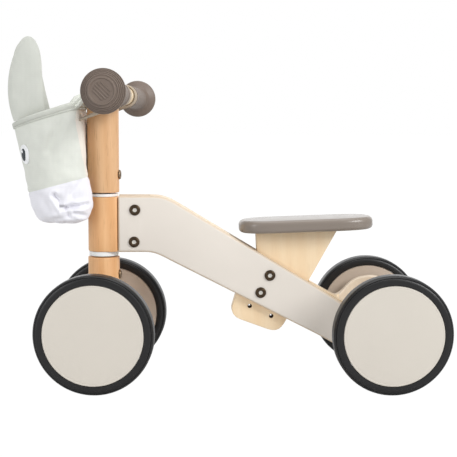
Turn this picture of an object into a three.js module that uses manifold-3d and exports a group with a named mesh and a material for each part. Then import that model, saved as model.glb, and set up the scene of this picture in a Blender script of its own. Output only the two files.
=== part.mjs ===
// A toddler's four-wheel balance bike in wood, with a soft animal-head bag on the handlebar.
// Millimetres. +X points to the rear of the bike, +Y to the rider's right, +Z up.
// Every part is modelled about the steering axis at x = 0, y = 0, on the ground z = 0, and the
// finished bike is then moved so that the origin is at the bottom centre of its bounding box.
import * as THREE from 'three';
import { mergeVertices } from 'three/addons/utils/BufferGeometryUtils.js';
import Module from 'manifold-3d';

const wasm = await Module();
wasm.setup();

// ---------------------------------------------------------------- driving dimensions
const GAP = 0.3; // clearance between faces that touch
const FIT = 0.1; // radial clearance of a pin in its hole
const WHEEL_RADIUS = 70;
const TYRE_WIDTH = 24;
const DISC_RADIUS = 58.6; // wheel disc inside the tyre
const WHEELBASE = 338;
const FRONT_TRACK = 151; // between the mid-planes of the front tyres
const REAR_TRACK = 174;
const FRONT_AXLE_X = -1; // the front axle sits just ahead of the steering axis
const STEER_AT_REST = THREE.MathUtils.degToRad(-4.4); // turned a little to the rider's right
const AXLE_RADIUS = 4;
const POST_RADIUS = 19; // round beech posts above and below the head block
const LOWER_POST = { bottom: 48, top: 151.5 };
const STEM = { bottom: 229.5, top: 366 };
const HEAD = { bottom: 158.7, top: 224.3, radius: 18.6, rear: 17.5, tongueEnd: 56 };
const ROD = { radius: 6, bottom: 90, top: 292 };
const BUSH = { flangeRadius: 17.6, sleeveRadius: 9, sleeveLength: 18, upperTop: 228, lowerBottom: 153 };
const FRAME_HALF_WIDTH = 19; // outer faces of the side plates at the head
const PLATE = 10; // thickness of a side plate
const PLATE_FRONT = 18.4;
const FLARE = { start: 254, angle: THREE.MathUtils.degToRad(67) }; // where the plates spread to the wheels
const LEG_OUTER = 69.7; // outer face of a rear leg
const LEG_END = 47.5; // radius of a rear leg's round end about the axle
const BAR = { x: 23.8, z: 345.4, radius: 11, halfLength: 150 };
const GRIP = { start: 37.5, flangeAt: 157, end: 165.5, flangeRadius: 24.1 };
const BOLT = { head: 6.6, headHeight: 2, shank: 3, sleeve: 4.2, hole: 4.5 };
const SEAT = { front: 164.2, rear: 328.2, halfWidth: 35, thickness: 15, rise: 0.036, lowAt: 222, low: 182.7 };
const HEAD_BOLTS = [[38.4, 209.2], [37.4, 170.8]];
const SEAT_BOLTS = [[201.1, 129.8], [190, 108.8]];
const SPARE_HOLES = [[177.5, 90.6], [204, 78.1]]; // lower seat-height holes, left empty
const STEM_BOLT_Z = 250.7;
const POST_BOLT_Z = 129.8;
const ROUND = 32; // segments of a post, rod, axle or bush
const SMALL_ROUND = 16; // segments of a bolt, nut or dowel
const WHEEL_ROUND = 40; // segments of a wheel

// ---------------------------------------------------------------- materials
function material(color, roughness, metalness = 0) {
  return new THREE.MeshStandardMaterial({ color, roughness, metalness });
}
const BEECH = material(0xd9a066, 0.55);
const BIRCH = material(0xecd0a2, 0.6);
const PAINTED_PLY = material(0xded6ca, 0.5);
const SEAT_PAINT = material(0x84796f, 0.42);
const DISC_PAINT = material(0xd8d0c5, 0.5);
const RUBBER = material(0x2c2b2d, 0.6);
const GRIP_RUBBER = material(0x6c5f56, 0.55);
const BRONZE = material(0x3f372d, 0.35, 0.8);
const STEEL = material(0xb8b8b8, 0.3, 0.9);
const NYLON = material(0xf0f0ee, 0.5);
const SAGE_CLOTH = material(0xd3d5ca, 0.95);
const EYE_CLOTH = material(0xf6f6f6, 0.8);
const WEBBING = material(0xd5c8b8, 0.9);

// ---------------------------------------------------------------- solids
function closed(geometry) {
  const bare = geometry.index ? geometry.clone() : geometry;
  bare.deleteAttribute('normal');
  bare.deleteAttribute('uv');
  const merged = mergeVertices(bare, 1e-4);
  const position = merged.attributes.position;
  const corner = [new THREE.Vector3(), new THREE.Vector3(), new THREE.Vector3()];
  const kept = [];
  let volume = 0;
  for (let i = 0; i < merged.index.count; i += 3) {
    const [a, b, c] = [0, 1, 2].map((k) => merged.index.getX(i + k));
    if (a === b || b === c || c === a) continue;
    [a, b, c].forEach((vertex, k) => corner[k].fromBufferAttribute(position, vertex));
    volume += corner[0].dot(corner[1].clone().cross(corner[2]));
    kept.push([a, b, c]);
  }
  const outward = volume < 0 ? kept.map(([a, b, c]) => [a, c, b]) : kept;
  merged.setIndex(outward.flat());
  return merged;
}

function solid(geometry) {
  const mesh = closed(geometry);
  return new wasm.Manifold(new wasm.Mesh({
    numProp: 3,
    vertProperties: new Float32Array(mesh.attributes.position.array),
    triVerts: new Uint32Array(mesh.index.array),
  }));
}

function geometryOf(manifold) {
  const mesh = manifold.getMesh();
  const geometry = new THREE.BufferGeometry();
  geometry.setAttribute('position', new THREE.BufferAttribute(new Float32Array(mesh.vertProperties), 3));
  geometry.setIndex(Array.from(mesh.triVerts));
  return geometry;
}

function cut(geometry, ...tools) {
  return geometryOf(tools.reduce((rest, tool) => rest.subtract(solid(tool)), solid(geometry)));
}

function join(geometry, ...others) {
  return geometryOf(others.reduce((sum, other) => sum.add(solid(other)), solid(geometry)));
}

function common(a, b) {
  return geometryOf(solid(a).intersect(solid(b)));
}

function addPart(parent, name, geometry, look) {
  const mesh = new THREE.Mesh(closed(geometry), look);
  mesh.name = name;
  parent.add(mesh);
  return mesh;
}

// ---------------------------------------------------------------- basic shapes
function rod(radius, from, to, axis, at = [0, 0, 0], segments = ROUND) {
  const geometry = new THREE.CylinderGeometry(radius, radius, to - from, segments);
  geometry.translate(0, (from + to) / 2, 0);
  if (axis === 'x') geometry.rotateZ(-Math.PI / 2);
  if (axis === 'z') geometry.rotateX(Math.PI / 2);
  return geometry.translate(...at);
}

// A solid turned about the Y axis from [radius, y] points that start and end on the axis,
// or about a ring when the points close on themselves.
function turned(points, segments, at = [0, 0, 0]) {
  const profile = points.map(([radius, y]) => new THREE.Vector2(radius, y));
  return new THREE.LatheGeometry(profile, segments).translate(...at);
}

function ring(inner, outer, from, to, segments = ROUND) {
  return turned([[inner, from], [outer, from], [outer, to], [inner, to], [inner, from]], segments);
}

// A side outline in X and Z, extruded across the bike from y = low to y = high.
function sidePrism(shape, low, high, curveSegments = 8) {
  const geometry = new THREE.ExtrudeGeometry(shape, { depth: high - low, bevelEnabled: false, curveSegments });
  return geometry.rotateX(Math.PI / 2).translate(0, high, 0);
}

// A plan outline in X and Y, extruded upwards from z = low to z = high.
function planPrism(shape, low, high, curveSegments = 8) {
  const geometry = new THREE.ExtrudeGeometry(shape, { depth: high - low, bevelEnabled: false, curveSegments });
  return geometry.translate(0, 0, low);
}

function box(low, high) {
  const size = high.map((value, i) => value - low[i]);
  const centre = high.map((value, i) => (value + low[i]) / 2);
  return new THREE.BoxGeometry(...size).translate(...centre);
}

function mirrored(geometry) {
  return geometry.clone().scale(1, -1, 1);
}

function crossHoles(places, radius) {
  return places.map(([x, z]) => rod(radius, -80, 80, 'y', [x, 0, z], SMALL_ROUND));
}

// ---------------------------------------------------------------- wheels
// A wheel turns about its own Y axis, with its outer face towards +Y.
const HUB = { radius: 13, inner: -TYRE_WIDTH / 2 - 2, recess: 11, recessFloor: -4, coverInner: 6 };

function tyre() {
  const half = TYRE_WIDTH / 2;
  const shoulder = 6.5;
  const seat = DISC_RADIUS + GAP;
  const arc = [0, 30, 60, 90].map((degrees) => THREE.MathUtils.degToRad(degrees));
  const lower = arc.map((a) => [
    WHEEL_RADIUS - shoulder + shoulder * Math.sin(a),
    -half + shoulder - shoulder * Math.cos(a),
  ]);
  const upper = lower.map(([radius, y]) => [radius, -y]).reverse();
  return turned([[seat, -half], ...lower, ...upper, [seat, half], [seat, -half]], WHEEL_ROUND);
}

function wheelCore() {
  const inner = -TYRE_WIDTH / 2 + 1;
  const bore = AXLE_RADIUS + FIT;
  return turned([
    [bore, HUB.inner], [HUB.radius, HUB.inner], [HUB.radius, inner], [DISC_RADIUS, inner],
    [DISC_RADIUS, HUB.coverInner], [HUB.recess, HUB.coverInner], [HUB.recess, HUB.recessFloor],
    [bore, HUB.recessFloor], [bore, HUB.inner],
  ], WHEEL_ROUND);
}

function wheelCover() {
  const face = TYRE_WIDTH / 2 - 1;
  return turned([
    [0, HUB.coverInner + GAP], [DISC_RADIUS, HUB.coverInner + GAP], [DISC_RADIUS, face],
    [DISC_RADIUS - 1.2, face + 0.8], [0, face + 0.8],
  ], WHEEL_ROUND);
}

function axleNut() {
  return turned([
    [0, HUB.coverInner - 0.6], [5.5, HUB.coverInner - 0.6], [8, 3], [8, HUB.recessFloor + GAP],
    [AXLE_RADIUS + FIT, HUB.recessFloor + GAP], [AXLE_RADIUS + FIT, 3.2], [0, 3.2],
  ], SMALL_ROUND);
}

// side is -1 for the rider's left and +1 for the right.
function addWheel(parent, place, side, x, track) {
  const wheel = new THREE.Group();
  wheel.position.set(x, (side * track) / 2, WHEEL_RADIUS);
  wheel.rotation.z = side > 0 ? 0 : Math.PI;
  parent.add(wheel);
  addPart(wheel, `${place}_tyre`, tyre(), RUBBER);
  addPart(wheel, `${place}_wheel_core`, wheelCore(), DISC_PAINT);
  addPart(wheel, `${place}_wheel_cover`, wheelCover(), DISC_PAINT);
  addPart(wheel, `${place}_axle_nut`, axleNut(), STEEL);
}

function axle(track, x) {
  const end = track / 2 + 2.8;
  return rod(AXLE_RADIUS, -end, end, 'y', [x, 0, WHEEL_RADIUS]);
}

// ---------------------------------------------------------------- fork: everything that steers
function stem() {
  const post = turned([
    [0, STEM.bottom], [POST_RADIUS, STEM.bottom], [POST_RADIUS, STEM.top - 5],
    [POST_RADIUS - 1.5, STEM.top - 1.5], [POST_RADIUS - 5, STEM.top], [0, STEM.top],
  ], 32).rotateX(Math.PI / 2);
  return cut(
    post,
    rod(ROD.radius + FIT, STEM.bottom - 1, ROD.top + 1, 'z'),
    rod(BAR.radius + GAP, -30, 30, 'y', [BAR.x, 0, BAR.z]),
    rod(BOLT.shank + FIT, -30, 30, 'x', [0, 0, BAR.z]),
    rod(BOLT.shank + FIT, 0, 30, 'x', [0, 0, STEM_BOLT_Z]),
  );
}

function lowerPost() {
  const post = rod(POST_RADIUS, LOWER_POST.bottom, LOWER_POST.top, 'z', [0, 0, 0], 32);
  return cut(
    post,
    rod(ROD.radius + FIT, ROD.bottom - 1, LOWER_POST.top + 1, 'z'),
    rod(AXLE_RADIUS + FIT, -30, 30, 'y', [FRONT_AXLE_X, 0, WHEEL_RADIUS]),
    rod(BOLT.shank + FIT, 0, 30, 'x', [0, 0, POST_BOLT_Z]),
  );
}

function steeringRod() {
  return cut(
    rod(ROD.radius, ROD.bottom, ROD.top, 'z'),
    rod(BOLT.shank + FIT, -2, 8, 'x', [0, 0, STEM_BOLT_Z]),
    rod(BOLT.shank + FIT, -2, 8, 'x', [0, 0, POST_BOLT_Z]),
  );
}

// A bolt along -X from behind a post into the steering rod.
function postBolt(z) {
  const face = POST_RADIUS + GAP;
  const head = rod(5.8, face, face + BOLT.headHeight, 'x', [0, 0, z], SMALL_ROUND);
  return join(head, rod(BOLT.shank, -1.5, face + 1, 'x', [0, 0, z], SMALL_ROUND));
}

function handlebarBolt() {
  const face = -POST_RADIUS - GAP;
  const head = rod(BOLT.head, face - BOLT.headHeight, face, 'x', [0, 0, BAR.z], SMALL_ROUND);
  return join(head, rod(BOLT.shank, face - 1, BAR.x + 3, 'x', [0, 0, BAR.z], SMALL_ROUND));
}

function handlebar() {
  const dowel = rod(BAR.radius, -BAR.halfLength, BAR.halfLength, 'y', [BAR.x, 0, BAR.z]);
  return cut(dowel, rod(BOLT.shank + FIT, 0, BAR.x + 4, 'x', [0, 0, BAR.z]));
}

// One grip for the right hand: a collar, a ribbed sleeve and a stepped bell with a domed end.
function grip() {
  const bore = BAR.radius + FIT;
  const step = 2.4;
  const bell = [0, 1, 2, 3].map((k) => [GRIP.flangeRadius - step * k, GRIP.flangeAt + 1.6 + 1.7 * k]);
  return turned([
    [bore, GRIP.start], [14.2, GRIP.start], [14.2, GRIP.start + 5], [12.9, GRIP.start + 6],
    [13.6, 95], [13.2, 140], [16, 147], [GRIP.flangeRadius - 1, 151],
    [GRIP.flangeRadius, GRIP.flangeAt - 3], [GRIP.flangeRadius, GRIP.flangeAt],
    ...bell, [14.2, GRIP.end], [0, GRIP.end], [0, BAR.halfLength + GAP], [bore, BAR.halfLength + GAP],
    [bore, GRIP.start],
  ], 24, [BAR.x, 0, BAR.z]);
}

function frontSleeve() {
  const end = FRONT_TRACK / 2 + HUB.inner - GAP;
  return ring(AXLE_RADIUS + FIT, 9, POST_RADIUS + GAP, end).translate(FRONT_AXLE_X, 0, WHEEL_RADIUS);
}

// ---------------------------------------------------------------- bag: a soft animal head
// Sections from the bottom to the rim. Each is a D in plan: flat towards the stem, round in front.
// The wrap is how far its back corners bulge past the flat, one on each side of the stem.
const BAG_SECTIONS = [
  { front: -72, back: -24, half: 34, wrap: 5, zFront: 195, zBack: 196 },
  { front: -81, back: -20.2, half: 41, wrap: 8, zFront: 201, zBack: 201 },
  { front: -86.5, back: -19.8, half: 44, wrap: 12, zFront: 214, zBack: 221 },
  { front: -92, back: -19.8, half: 46.5, wrap: 3, zFront: 240, zBack: 256 },
  { front: -99, back: -20.4, half: 48, wrap: 0, zFront: 275, zBack: 292 },
  { front: -107, back: -31, half: 47, wrap: 0, zFront: 310.5, zBack: 336 },
];
const WRAP = { from: 20, full: 30 }; // distances from the middle plane between which the wrap grows
const BAG_WALL = 3.5;
const BAG_ROUND = 28;
const FRONT_SHARE = 0.62; // share of a section's depth that is its round front
const EAR = { base: 322, thickness: 6 };
const EARS = { left: { x: -84.5, y: -31, lean: 0 }, right: { x: -89, y: 28, lean: 0.17 } }; // the right ear nods
const EYE = { x: -48, z: 275.5, turn: THREE.MathUtils.degToRad(38), width: 18, height: 23, thickness: 1.2 };

function bagRing(section, inset, lift) {
  const front = section.front + inset;
  const back = section.back - inset;
  const half = section.half - inset;
  const centre = back + (front - back) * (1 - FRONT_SHARE);
  const points = [];
  for (let i = 0; i < BAG_ROUND; i += 1) {
    const angle = (2 * Math.PI * i) / BAG_ROUND;
    const [c, s] = [Math.cos(angle), Math.sin(angle)];
    const power = c < 0 ? 1 : 0.5;
    const reach = c < 0 ? centre - front : back - centre;
    const x = centre + reach * Math.sign(c) * Math.abs(c) ** power;
    const y = half * Math.sign(s) * Math.abs(s) ** power;
    const share = (x - section.front) / (section.back - section.front);
    const corner = THREE.MathUtils.smoothstep(Math.abs(y), WRAP.from, WRAP.full);
    const bulge = section.wrap * corner * Math.max(0, (x - centre) / reach);
    points.push([x + bulge, y, section.zFront + (section.zBack - section.zFront) * share + lift]);
  }
  return points;
}

// Closes a stack of equal rings with a fan at each end.
function loft(rings) {
  const count = rings[0].length;
  const middle = (points) => [0, 1, 2].map((k) => points.reduce((sum, p) => sum + p[k], 0) / count);
  const points = [...rings.flat(), middle(rings[0]), middle(rings[rings.length - 1])];
  const first = rings.length * count;
  const index = [];
  for (let i = 0; i < count; i += 1) {
    const next = (i + 1) % count;
    for (let row = 0; row < rings.length - 1; row += 1) {
      const [a, b] = [row * count + i, row * count + next];
      index.push(a, b, b + count, a, b + count, a + count);
    }
    const last = (rings.length - 1) * count;
    index.push(first, next, i, first + 1, last + i, last + next);
  }
  const geometry = new THREE.BufferGeometry();
  geometry.setAttribute('position', new THREE.Float32BufferAttribute(points.flat(), 3));
  geometry.setIndex(index);
  return geometry;
}

function bag() {
  const outside = BAG_SECTIONS.map((section) => bagRing(section, 0, 0));
  const inside = BAG_SECTIONS.slice(1).map((section) => bagRing(section, BAG_WALL, 0)).reverse();
  inside[inside.length - 1].forEach((point) => { point[2] += BAG_WALL; });
  return loft([...outside, ...inside]);
}

// An upright ear: a flat leaf about x = 0 standing on the rim, leaning forward.
function ear(lean) {
  const leaf = new THREE.Shape();
  leaf.moveTo(-15.5, 314);
  leaf.bezierCurveTo(-25, 338, -24.5, 371, -11.5, 398);
  leaf.bezierCurveTo(-5, 412, 5.5, 417, 13, 404);
  leaf.bezierCurveTo(20.5, 390, 17, 360, 20.5, 326);
  leaf.lineTo(-15.5, 314);
  const geometry = sidePrism(leaf, -EAR.thickness / 2, EAR.thickness / 2, 6);
  return geometry.translate(0, 0, -EAR.base).rotateY(-lean).translate(0, 0, EAR.base);
}

// An oval felt patch that follows the round front of the bag, EYE.turn to one side of straight ahead.
function eye(side) {
  const skin = (gap) => loft(BAG_SECTIONS.map((section) => bagRing(section, -gap, 0)));
  const shell = cut(skin(GAP + EYE.thickness), skin(GAP));
  const oval = rod(1, 30, 90, 'x', [0, 0, 0], 20).scale(1, EYE.width / 2, EYE.height / 2);
  oval.rotateZ(Math.PI - side * EYE.turn).translate(EYE.x, 0, EYE.z);
  return common(shell, oval);
}

// A band about 16 mm wide round the handlebar and down to the bag's back edge.
const STRAP_HALF = 8.2;
const STRAP_OFFSET = 28.4; // from the middle plane to the middle of a strap

function strapLoop() {
  const outline = (grow) => {
    const shape = new THREE.Shape();
    const [leaves, returns] = [111, -70].map((degrees) => THREE.MathUtils.degToRad(degrees));
    shape.absarc(BAR.x, BAR.z, 11.6 + grow, leaves, returns, true);
    shape.lineTo(-18.5 - grow * 0.6, 318.5 - grow);
    shape.lineTo(-24.5 - grow, 338.5 + grow * 0.5);
    shape.closePath();
    return shape;
  };
  return cut(sidePrism(outline(1.8), -STRAP_HALF, STRAP_HALF), sidePrism(outline(0), -10, 10));
}

// ---------------------------------------------------------------- frame
function sideOutline() {
  const shape = new THREE.Shape();
  const [joins, leaves] = [134, -117.4].map((degrees) => THREE.MathUtils.degToRad(degrees));
  shape.moveTo(PLATE_FRONT, 225.8);
  shape.lineTo(58, 225.8);
  shape.bezierCurveTo(72, 225.8, 80, 222, 91, 215.4);
  shape.lineTo(283, 100.2);
  shape.bezierCurveTo(290.7, 95.6, 297.5, 96.8, 305, 104.2);
  shape.absarc(WHEELBASE, WHEEL_RADIUS, LEG_END, joins, leaves, true);
  shape.lineTo(82, 147.5);
  shape.bezierCurveTo(68, 155, 62, 158.4, 50, 158.4);
  shape.lineTo(PLATE_FRONT, 158.4);
  shape.closePath();
  return shape;
}

// The right side plate seen from above: straight, then an S-bend outwards, then straight
// again beside the wheel.
const PLATE_MIDDLE = FRAME_HALF_WIDTH - PLATE / 2;
const LEG_MIDDLE = LEG_OUTER - PLATE / 2;
const BEND = (LEG_MIDDLE - PLATE_MIDDLE) / (2 * (1 - Math.cos(FLARE.angle)));
const FLARE_END = FLARE.start + 2 * BEND * Math.sin(FLARE.angle);

function platePlan() {
  const shape = new THREE.Shape();
  const half = PLATE / 2;
  const first = PLATE_MIDDLE + BEND; // centre of the first bend, beside FLARE.start
  const second = LEG_MIDDLE - BEND; // centre of the second bend, beside FLARE_END
  const down = -Math.PI / 2;
  const up = Math.PI / 2;
  shape.moveTo(0, PLATE_MIDDLE - half);
  shape.lineTo(FLARE.start, PLATE_MIDDLE - half);
  shape.absarc(FLARE.start, first, BEND + half, down, down + FLARE.angle, false);
  shape.absarc(FLARE_END, second, BEND - half, up + FLARE.angle, up, true);
  shape.lineTo(WHEELBASE + 60, LEG_MIDDLE - half);
  shape.lineTo(WHEELBASE + 60, LEG_MIDDLE + half);
  shape.absarc(FLARE_END, second, BEND + half, up, up + FLARE.angle, false);
  shape.absarc(FLARE.start, first, BEND - half, down + FLARE.angle, down, true);
  shape.lineTo(0, PLATE_MIDDLE + half);
  shape.closePath();
  return shape;
}

function sidePlate() {
  const blank = common(sidePrism(sideOutline(), 0, 90), planPrism(platePlan(), 0, 260));
  return cut(
    blank,
    ...crossHoles([...HEAD_BOLTS, ...SEAT_BOLTS], BOLT.hole),
    ...crossHoles([[WHEELBASE, WHEEL_RADIUS]], AXLE_RADIUS + FIT),
  );
}

const CORE_HALF = FRAME_HALF_WIDTH - PLATE - GAP; // pieces clamped between the plates
const SEAT_BLOCK_FRONT = [[184.6, 181], [186, 157], [160, 104], [156.5, 92]];

// The filler between the plates from the head block's tongue to just before the seat block.
function frontCore() {
  const shape = new THREE.Shape();
  shape.moveTo(HEAD.tongueEnd + GAP, 0);
  shape.lineTo(HEAD.tongueEnd + GAP, 300);
  shape.lineTo(153, 300);
  shape.lineTo(153, 0);
  shape.closePath();
  return common(sidePrism(sideOutline(), -CORE_HALF, CORE_HALF), sidePrism(shape, -30, 30));
}

// The wedge behind the seat block that closes the fork of the Y, with a hollow rear end.
function rearCore() {
  const plan = new THREE.Shape();
  const first = PLATE_MIDDLE + BEND;
  const radius = BEND + PLATE / 2 + GAP;
  const open = THREE.MathUtils.degToRad(58);
  const end = { x: FLARE.start + radius * Math.sin(open), y: first - radius * Math.cos(open) };
  const down = -Math.PI / 2;
  plan.moveTo(215, -CORE_HALF);
  plan.lineTo(FLARE.start, -CORE_HALF);
  plan.absarc(FLARE.start, -first, radius, -down, -down - open, true);
  plan.quadraticCurveTo(end.x - 14, 0, end.x, end.y);
  plan.absarc(FLARE.start, first, radius, down + open, down, true);
  plan.lineTo(215, CORE_HALF);
  plan.closePath();
  const behindBlock = new THREE.Shape();
  behindBlock.moveTo(285.6, 184);
  behindBlock.lineTo(400, 184);
  behindBlock.lineTo(400, 0);
  behindBlock.lineTo(181.5, 0);
  behindBlock.closePath();
  const blank = common(planPrism(plan, 0, 260), sidePrism(sideOutline(), -60, 60));
  return common(blank, sidePrism(behindBlock, -60, 60));
}

function seatUnderside(x) {
  return SEAT.low + SEAT.rise * (x - SEAT.lowAt);
}

function seatBlock() {
  const shape = new THREE.Shape();
  shape.moveTo(...SEAT_BLOCK_FRONT[0]);
  SEAT_BLOCK_FRONT.slice(1).forEach((point) => shape.lineTo(...point));
  shape.bezierCurveTo(153.5, 84, 158, 77, 166, 74);
  shape.lineTo(200, 61.5);
  shape.bezierCurveTo(212, 57.5, 216.5, 62.5, 221.9, 72);
  shape.lineTo(284.4, seatUnderside(284.4) - GAP);
  shape.lineTo(184.6, seatUnderside(184.6) - GAP);
  shape.closePath();
  return cut(
    sidePrism(shape, -CORE_HALF, CORE_HALF),
    ...crossHoles(SEAT_BOLTS, BOLT.hole),
    ...crossHoles(SPARE_HOLES, 3.1),
    ...SEAT_DOWELS.map((x) => rod(4 + FIT, seatUnderside(x) - 19, 200, 'z', [x, 0, 0], SMALL_ROUND)),
  );
}

const SEAT_DOWELS = [204, 262];

function seatBoard() {
  const length = SEAT.rear - SEAT.front;
  const plan = new THREE.Shape();
  const [a, b] = [length / 2, SEAT.halfWidth];
  plan.moveTo(-a, 0);
  plan.bezierCurveTo(-a, -b * 0.72, -a * 0.78, -b, -a * 0.42, -b);
  plan.lineTo(a * 0.42, -b);
  plan.bezierCurveTo(a * 0.78, -b, a, -b * 0.72, a, 0);
  plan.bezierCurveTo(a, b * 0.72, a * 0.78, b, a * 0.42, b);
  plan.lineTo(-a * 0.42, b);
  plan.bezierCurveTo(-a * 0.78, b, -a, b * 0.72, -a, 0);
  const middle = (SEAT.front + SEAT.rear) / 2;
  const board = planPrism(plan, 0, SEAT.thickness);
  board.rotateY(-Math.atan(SEAT.rise)).translate(middle, 0, seatUnderside(middle));
  const holes = SEAT_DOWELS.map((x) => rod(4 + FIT, 150, seatUnderside(x) + 9.5, 'z', [x, 0, 0], SMALL_ROUND));
  return cut(board, ...holes);
}

function seatDowel(x) {
  return rod(4, seatUnderside(x) - 18, seatUnderside(x) + 9, 'z', [x, 0, 0], SMALL_ROUND);
}

function headBlock() {
  const plan = new THREE.Shape();
  const corner = 3;
  plan.absarc(0, 0, HEAD.radius, Math.PI / 2, (3 * Math.PI) / 2, false);
  plan.lineTo(HEAD.rear - corner, -HEAD.radius);
  plan.quadraticCurveTo(HEAD.rear, -HEAD.radius, HEAD.rear, -HEAD.radius + corner);
  plan.lineTo(HEAD.rear, HEAD.radius - corner);
  plan.quadraticCurveTo(HEAD.rear, HEAD.radius, HEAD.rear - corner, HEAD.radius);
  plan.closePath();
  const tongue = box([0, -CORE_HALF, HEAD.bottom + 1], [HEAD.tongueEnd, CORE_HALF, HEAD.top - 1]);
  const bore = BUSH.sleeveRadius + FIT;
  return cut(
    join(planPrism(plan, HEAD.bottom, HEAD.top, 12), tongue),
    rod(ROD.radius + 1, HEAD.bottom - 1, HEAD.top + 1, 'z'),
    rod(bore, HEAD.bottom - 1, HEAD.bottom + BUSH.sleeveLength + 1, 'z'),
    rod(bore, HEAD.top - BUSH.sleeveLength - 1, HEAD.top + 1, 'z'),
    ...crossHoles(HEAD_BOLTS, BOLT.hole),
  );
}

// A flanged nylon bush about Z, its flange face at z = faceAt and its sleeve towards sleeveEnd.
function headBush(faceAt, flangeBack, sleeveEnd) {
  const bore = ROD.radius + FIT;
  return turned([
    [bore, faceAt], [BUSH.flangeRadius, faceAt], [BUSH.flangeRadius, flangeBack],
    [BUSH.sleeveRadius, flangeBack], [BUSH.sleeveRadius, sleeveEnd], [bore, sleeveEnd], [bore, faceAt],
  ], ROUND).rotateX(Math.PI / 2);
}

// A bolt from the left face of the frame and its sleeve nut from the right face.
function frameBolt([x, z]) {
  const face = -FRAME_HALF_WIDTH - GAP;
  const head = rod(BOLT.head, face - BOLT.headHeight, face, 'y', [x, 0, z], SMALL_ROUND);
  return join(head, rod(BOLT.shank, face - 1, 12, 'y', [x, 0, z], SMALL_ROUND));
}

function sleeveNut([x, z]) {
  const face = FRAME_HALF_WIDTH + GAP;
  const bore = BOLT.shank + FIT;
  return turned([
    [0, face + BOLT.headHeight], [BOLT.head, face + BOLT.headHeight], [BOLT.head, face],
    [BOLT.sleeve, face], [BOLT.sleeve, 2], [bore, 2], [bore, 13], [0, 13],
  ], SMALL_ROUND, [x, 0, z]);
}

function rearSpacer() {
  const end = REAR_TRACK / 2 + HUB.inner - GAP;
  return ring(AXLE_RADIUS + FIT, 8, LEG_OUTER + GAP, end, ROUND).translate(WHEELBASE, 0, WHEEL_RADIUS);
}

function rearTube() {
  const end = LEG_OUTER - PLATE - GAP;
  return ring(AXLE_RADIUS + FIT, 9, -end, end, ROUND).translate(WHEELBASE, 0, WHEEL_RADIUS);
}

// ---------------------------------------------------------------- assembly
function buildBag(fork) {
  addPart(fork, 'bag', bag(), SAGE_CLOTH);
  [['left', -1], ['right', 1]].forEach(([name, side]) => {
    const leaf = addPart(fork, `ear_${name}`, ear(EARS[name].lean), SAGE_CLOTH);
    leaf.position.set(EARS[name].x, EARS[name].y, 0);
    addPart(fork, `eye_${name}`, eye(side), EYE_CLOTH);
    const strap = addPart(fork, `bag_strap_${name}`, strapLoop(), WEBBING);
    strap.position.y = side * STRAP_OFFSET;
  });
}

function buildFork() {
  const fork = new THREE.Group();
  fork.rotation.z = STEER_AT_REST;
  addPart(fork, 'stem', stem(), BEECH);
  addPart(fork, 'steering_rod', steeringRod(), STEEL);
  addPart(fork, 'lower_post', lowerPost(), BEECH);
  addPart(fork, 'stem_bolt', postBolt(STEM_BOLT_Z), BRONZE);
  addPart(fork, 'post_bolt', postBolt(POST_BOLT_Z), BRONZE);
  addPart(fork, 'handlebar', handlebar(), BIRCH);
  addPart(fork, 'handlebar_bolt', handlebarBolt(), BRONZE);
  addPart(fork, 'grip_right', grip(), GRIP_RUBBER);
  addPart(fork, 'grip_left', mirrored(grip()), GRIP_RUBBER);
  addPart(fork, 'front_axle', axle(FRONT_TRACK, FRONT_AXLE_X), STEEL);
  addPart(fork, 'front_sleeve_right', frontSleeve(), NYLON);
  addPart(fork, 'front_sleeve_left', mirrored(frontSleeve()), NYLON);
  addWheel(fork, 'front_left', -1, FRONT_AXLE_X, FRONT_TRACK);
  addWheel(fork, 'front_right', 1, FRONT_AXLE_X, FRONT_TRACK);
  buildBag(fork);
  return fork;
}

function buildFrame() {
  const frame = new THREE.Group();
  addPart(frame, 'head_block', headBlock(), BEECH);
  const upperBush = headBush(BUSH.upperTop, HEAD.top + GAP, HEAD.top - BUSH.sleeveLength);
  const lowerBush = headBush(BUSH.lowerBottom, HEAD.bottom - GAP, HEAD.bottom + BUSH.sleeveLength);
  addPart(frame, 'head_bush_upper', upperBush, NYLON);
  addPart(frame, 'head_bush_lower', lowerBush, NYLON);
  addPart(frame, 'side_plate_right', sidePlate(), PAINTED_PLY);
  addPart(frame, 'side_plate_left', mirrored(sidePlate()), PAINTED_PLY);
  addPart(frame, 'front_core', frontCore(), BIRCH);
  addPart(frame, 'rear_core', rearCore(), BIRCH);
  addPart(frame, 'seat_block', seatBlock(), BIRCH);
  addPart(frame, 'seat_board', seatBoard(), SEAT_PAINT);
  SEAT_DOWELS.forEach((x, i) => addPart(frame, `seat_dowel_${i + 1}`, seatDowel(x), BEECH));
  [...HEAD_BOLTS, ...SEAT_BOLTS].forEach((place, i) => {
    addPart(frame, `frame_bolt_${i + 1}`, frameBolt(place), BRONZE);
    addPart(frame, `sleeve_nut_${i + 1}`, sleeveNut(place), BRONZE);
  });
  addPart(frame, 'rear_axle', axle(REAR_TRACK, WHEELBASE), STEEL);
  addPart(frame, 'rear_axle_tube', rearTube(), NYLON);
  addPart(frame, 'rear_spacer_right', rearSpacer(), NYLON);
  addPart(frame, 'rear_spacer_left', mirrored(rearSpacer()), NYLON);
  addWheel(frame, 'rear_left', -1, WHEELBASE, REAR_TRACK);
  addWheel(frame, 'rear_right', 1, WHEELBASE, REAR_TRACK);
  return frame;
}

const bike = new THREE.Group();
bike.add(buildFork(), buildFrame());
bike.updateMatrixWorld(true);
const bounds = new THREE.Box3().setFromObject(bike, true);
const centre = bounds.getCenter(new THREE.Vector3());
bike.position.set(-centre.x, -centre.y, -bounds.min.z);

export default bike;
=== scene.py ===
"""A toddler's four-wheel balance bike with a soft animal-head bag, finished over its CAD frame.

Pieces are modelled in millimetres about the steering axis, with the ground at z = 0, X towards
the rear of the bike, Y towards the rider's right and Z up, and then placed in the frame's metres.
"""

import math

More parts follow.
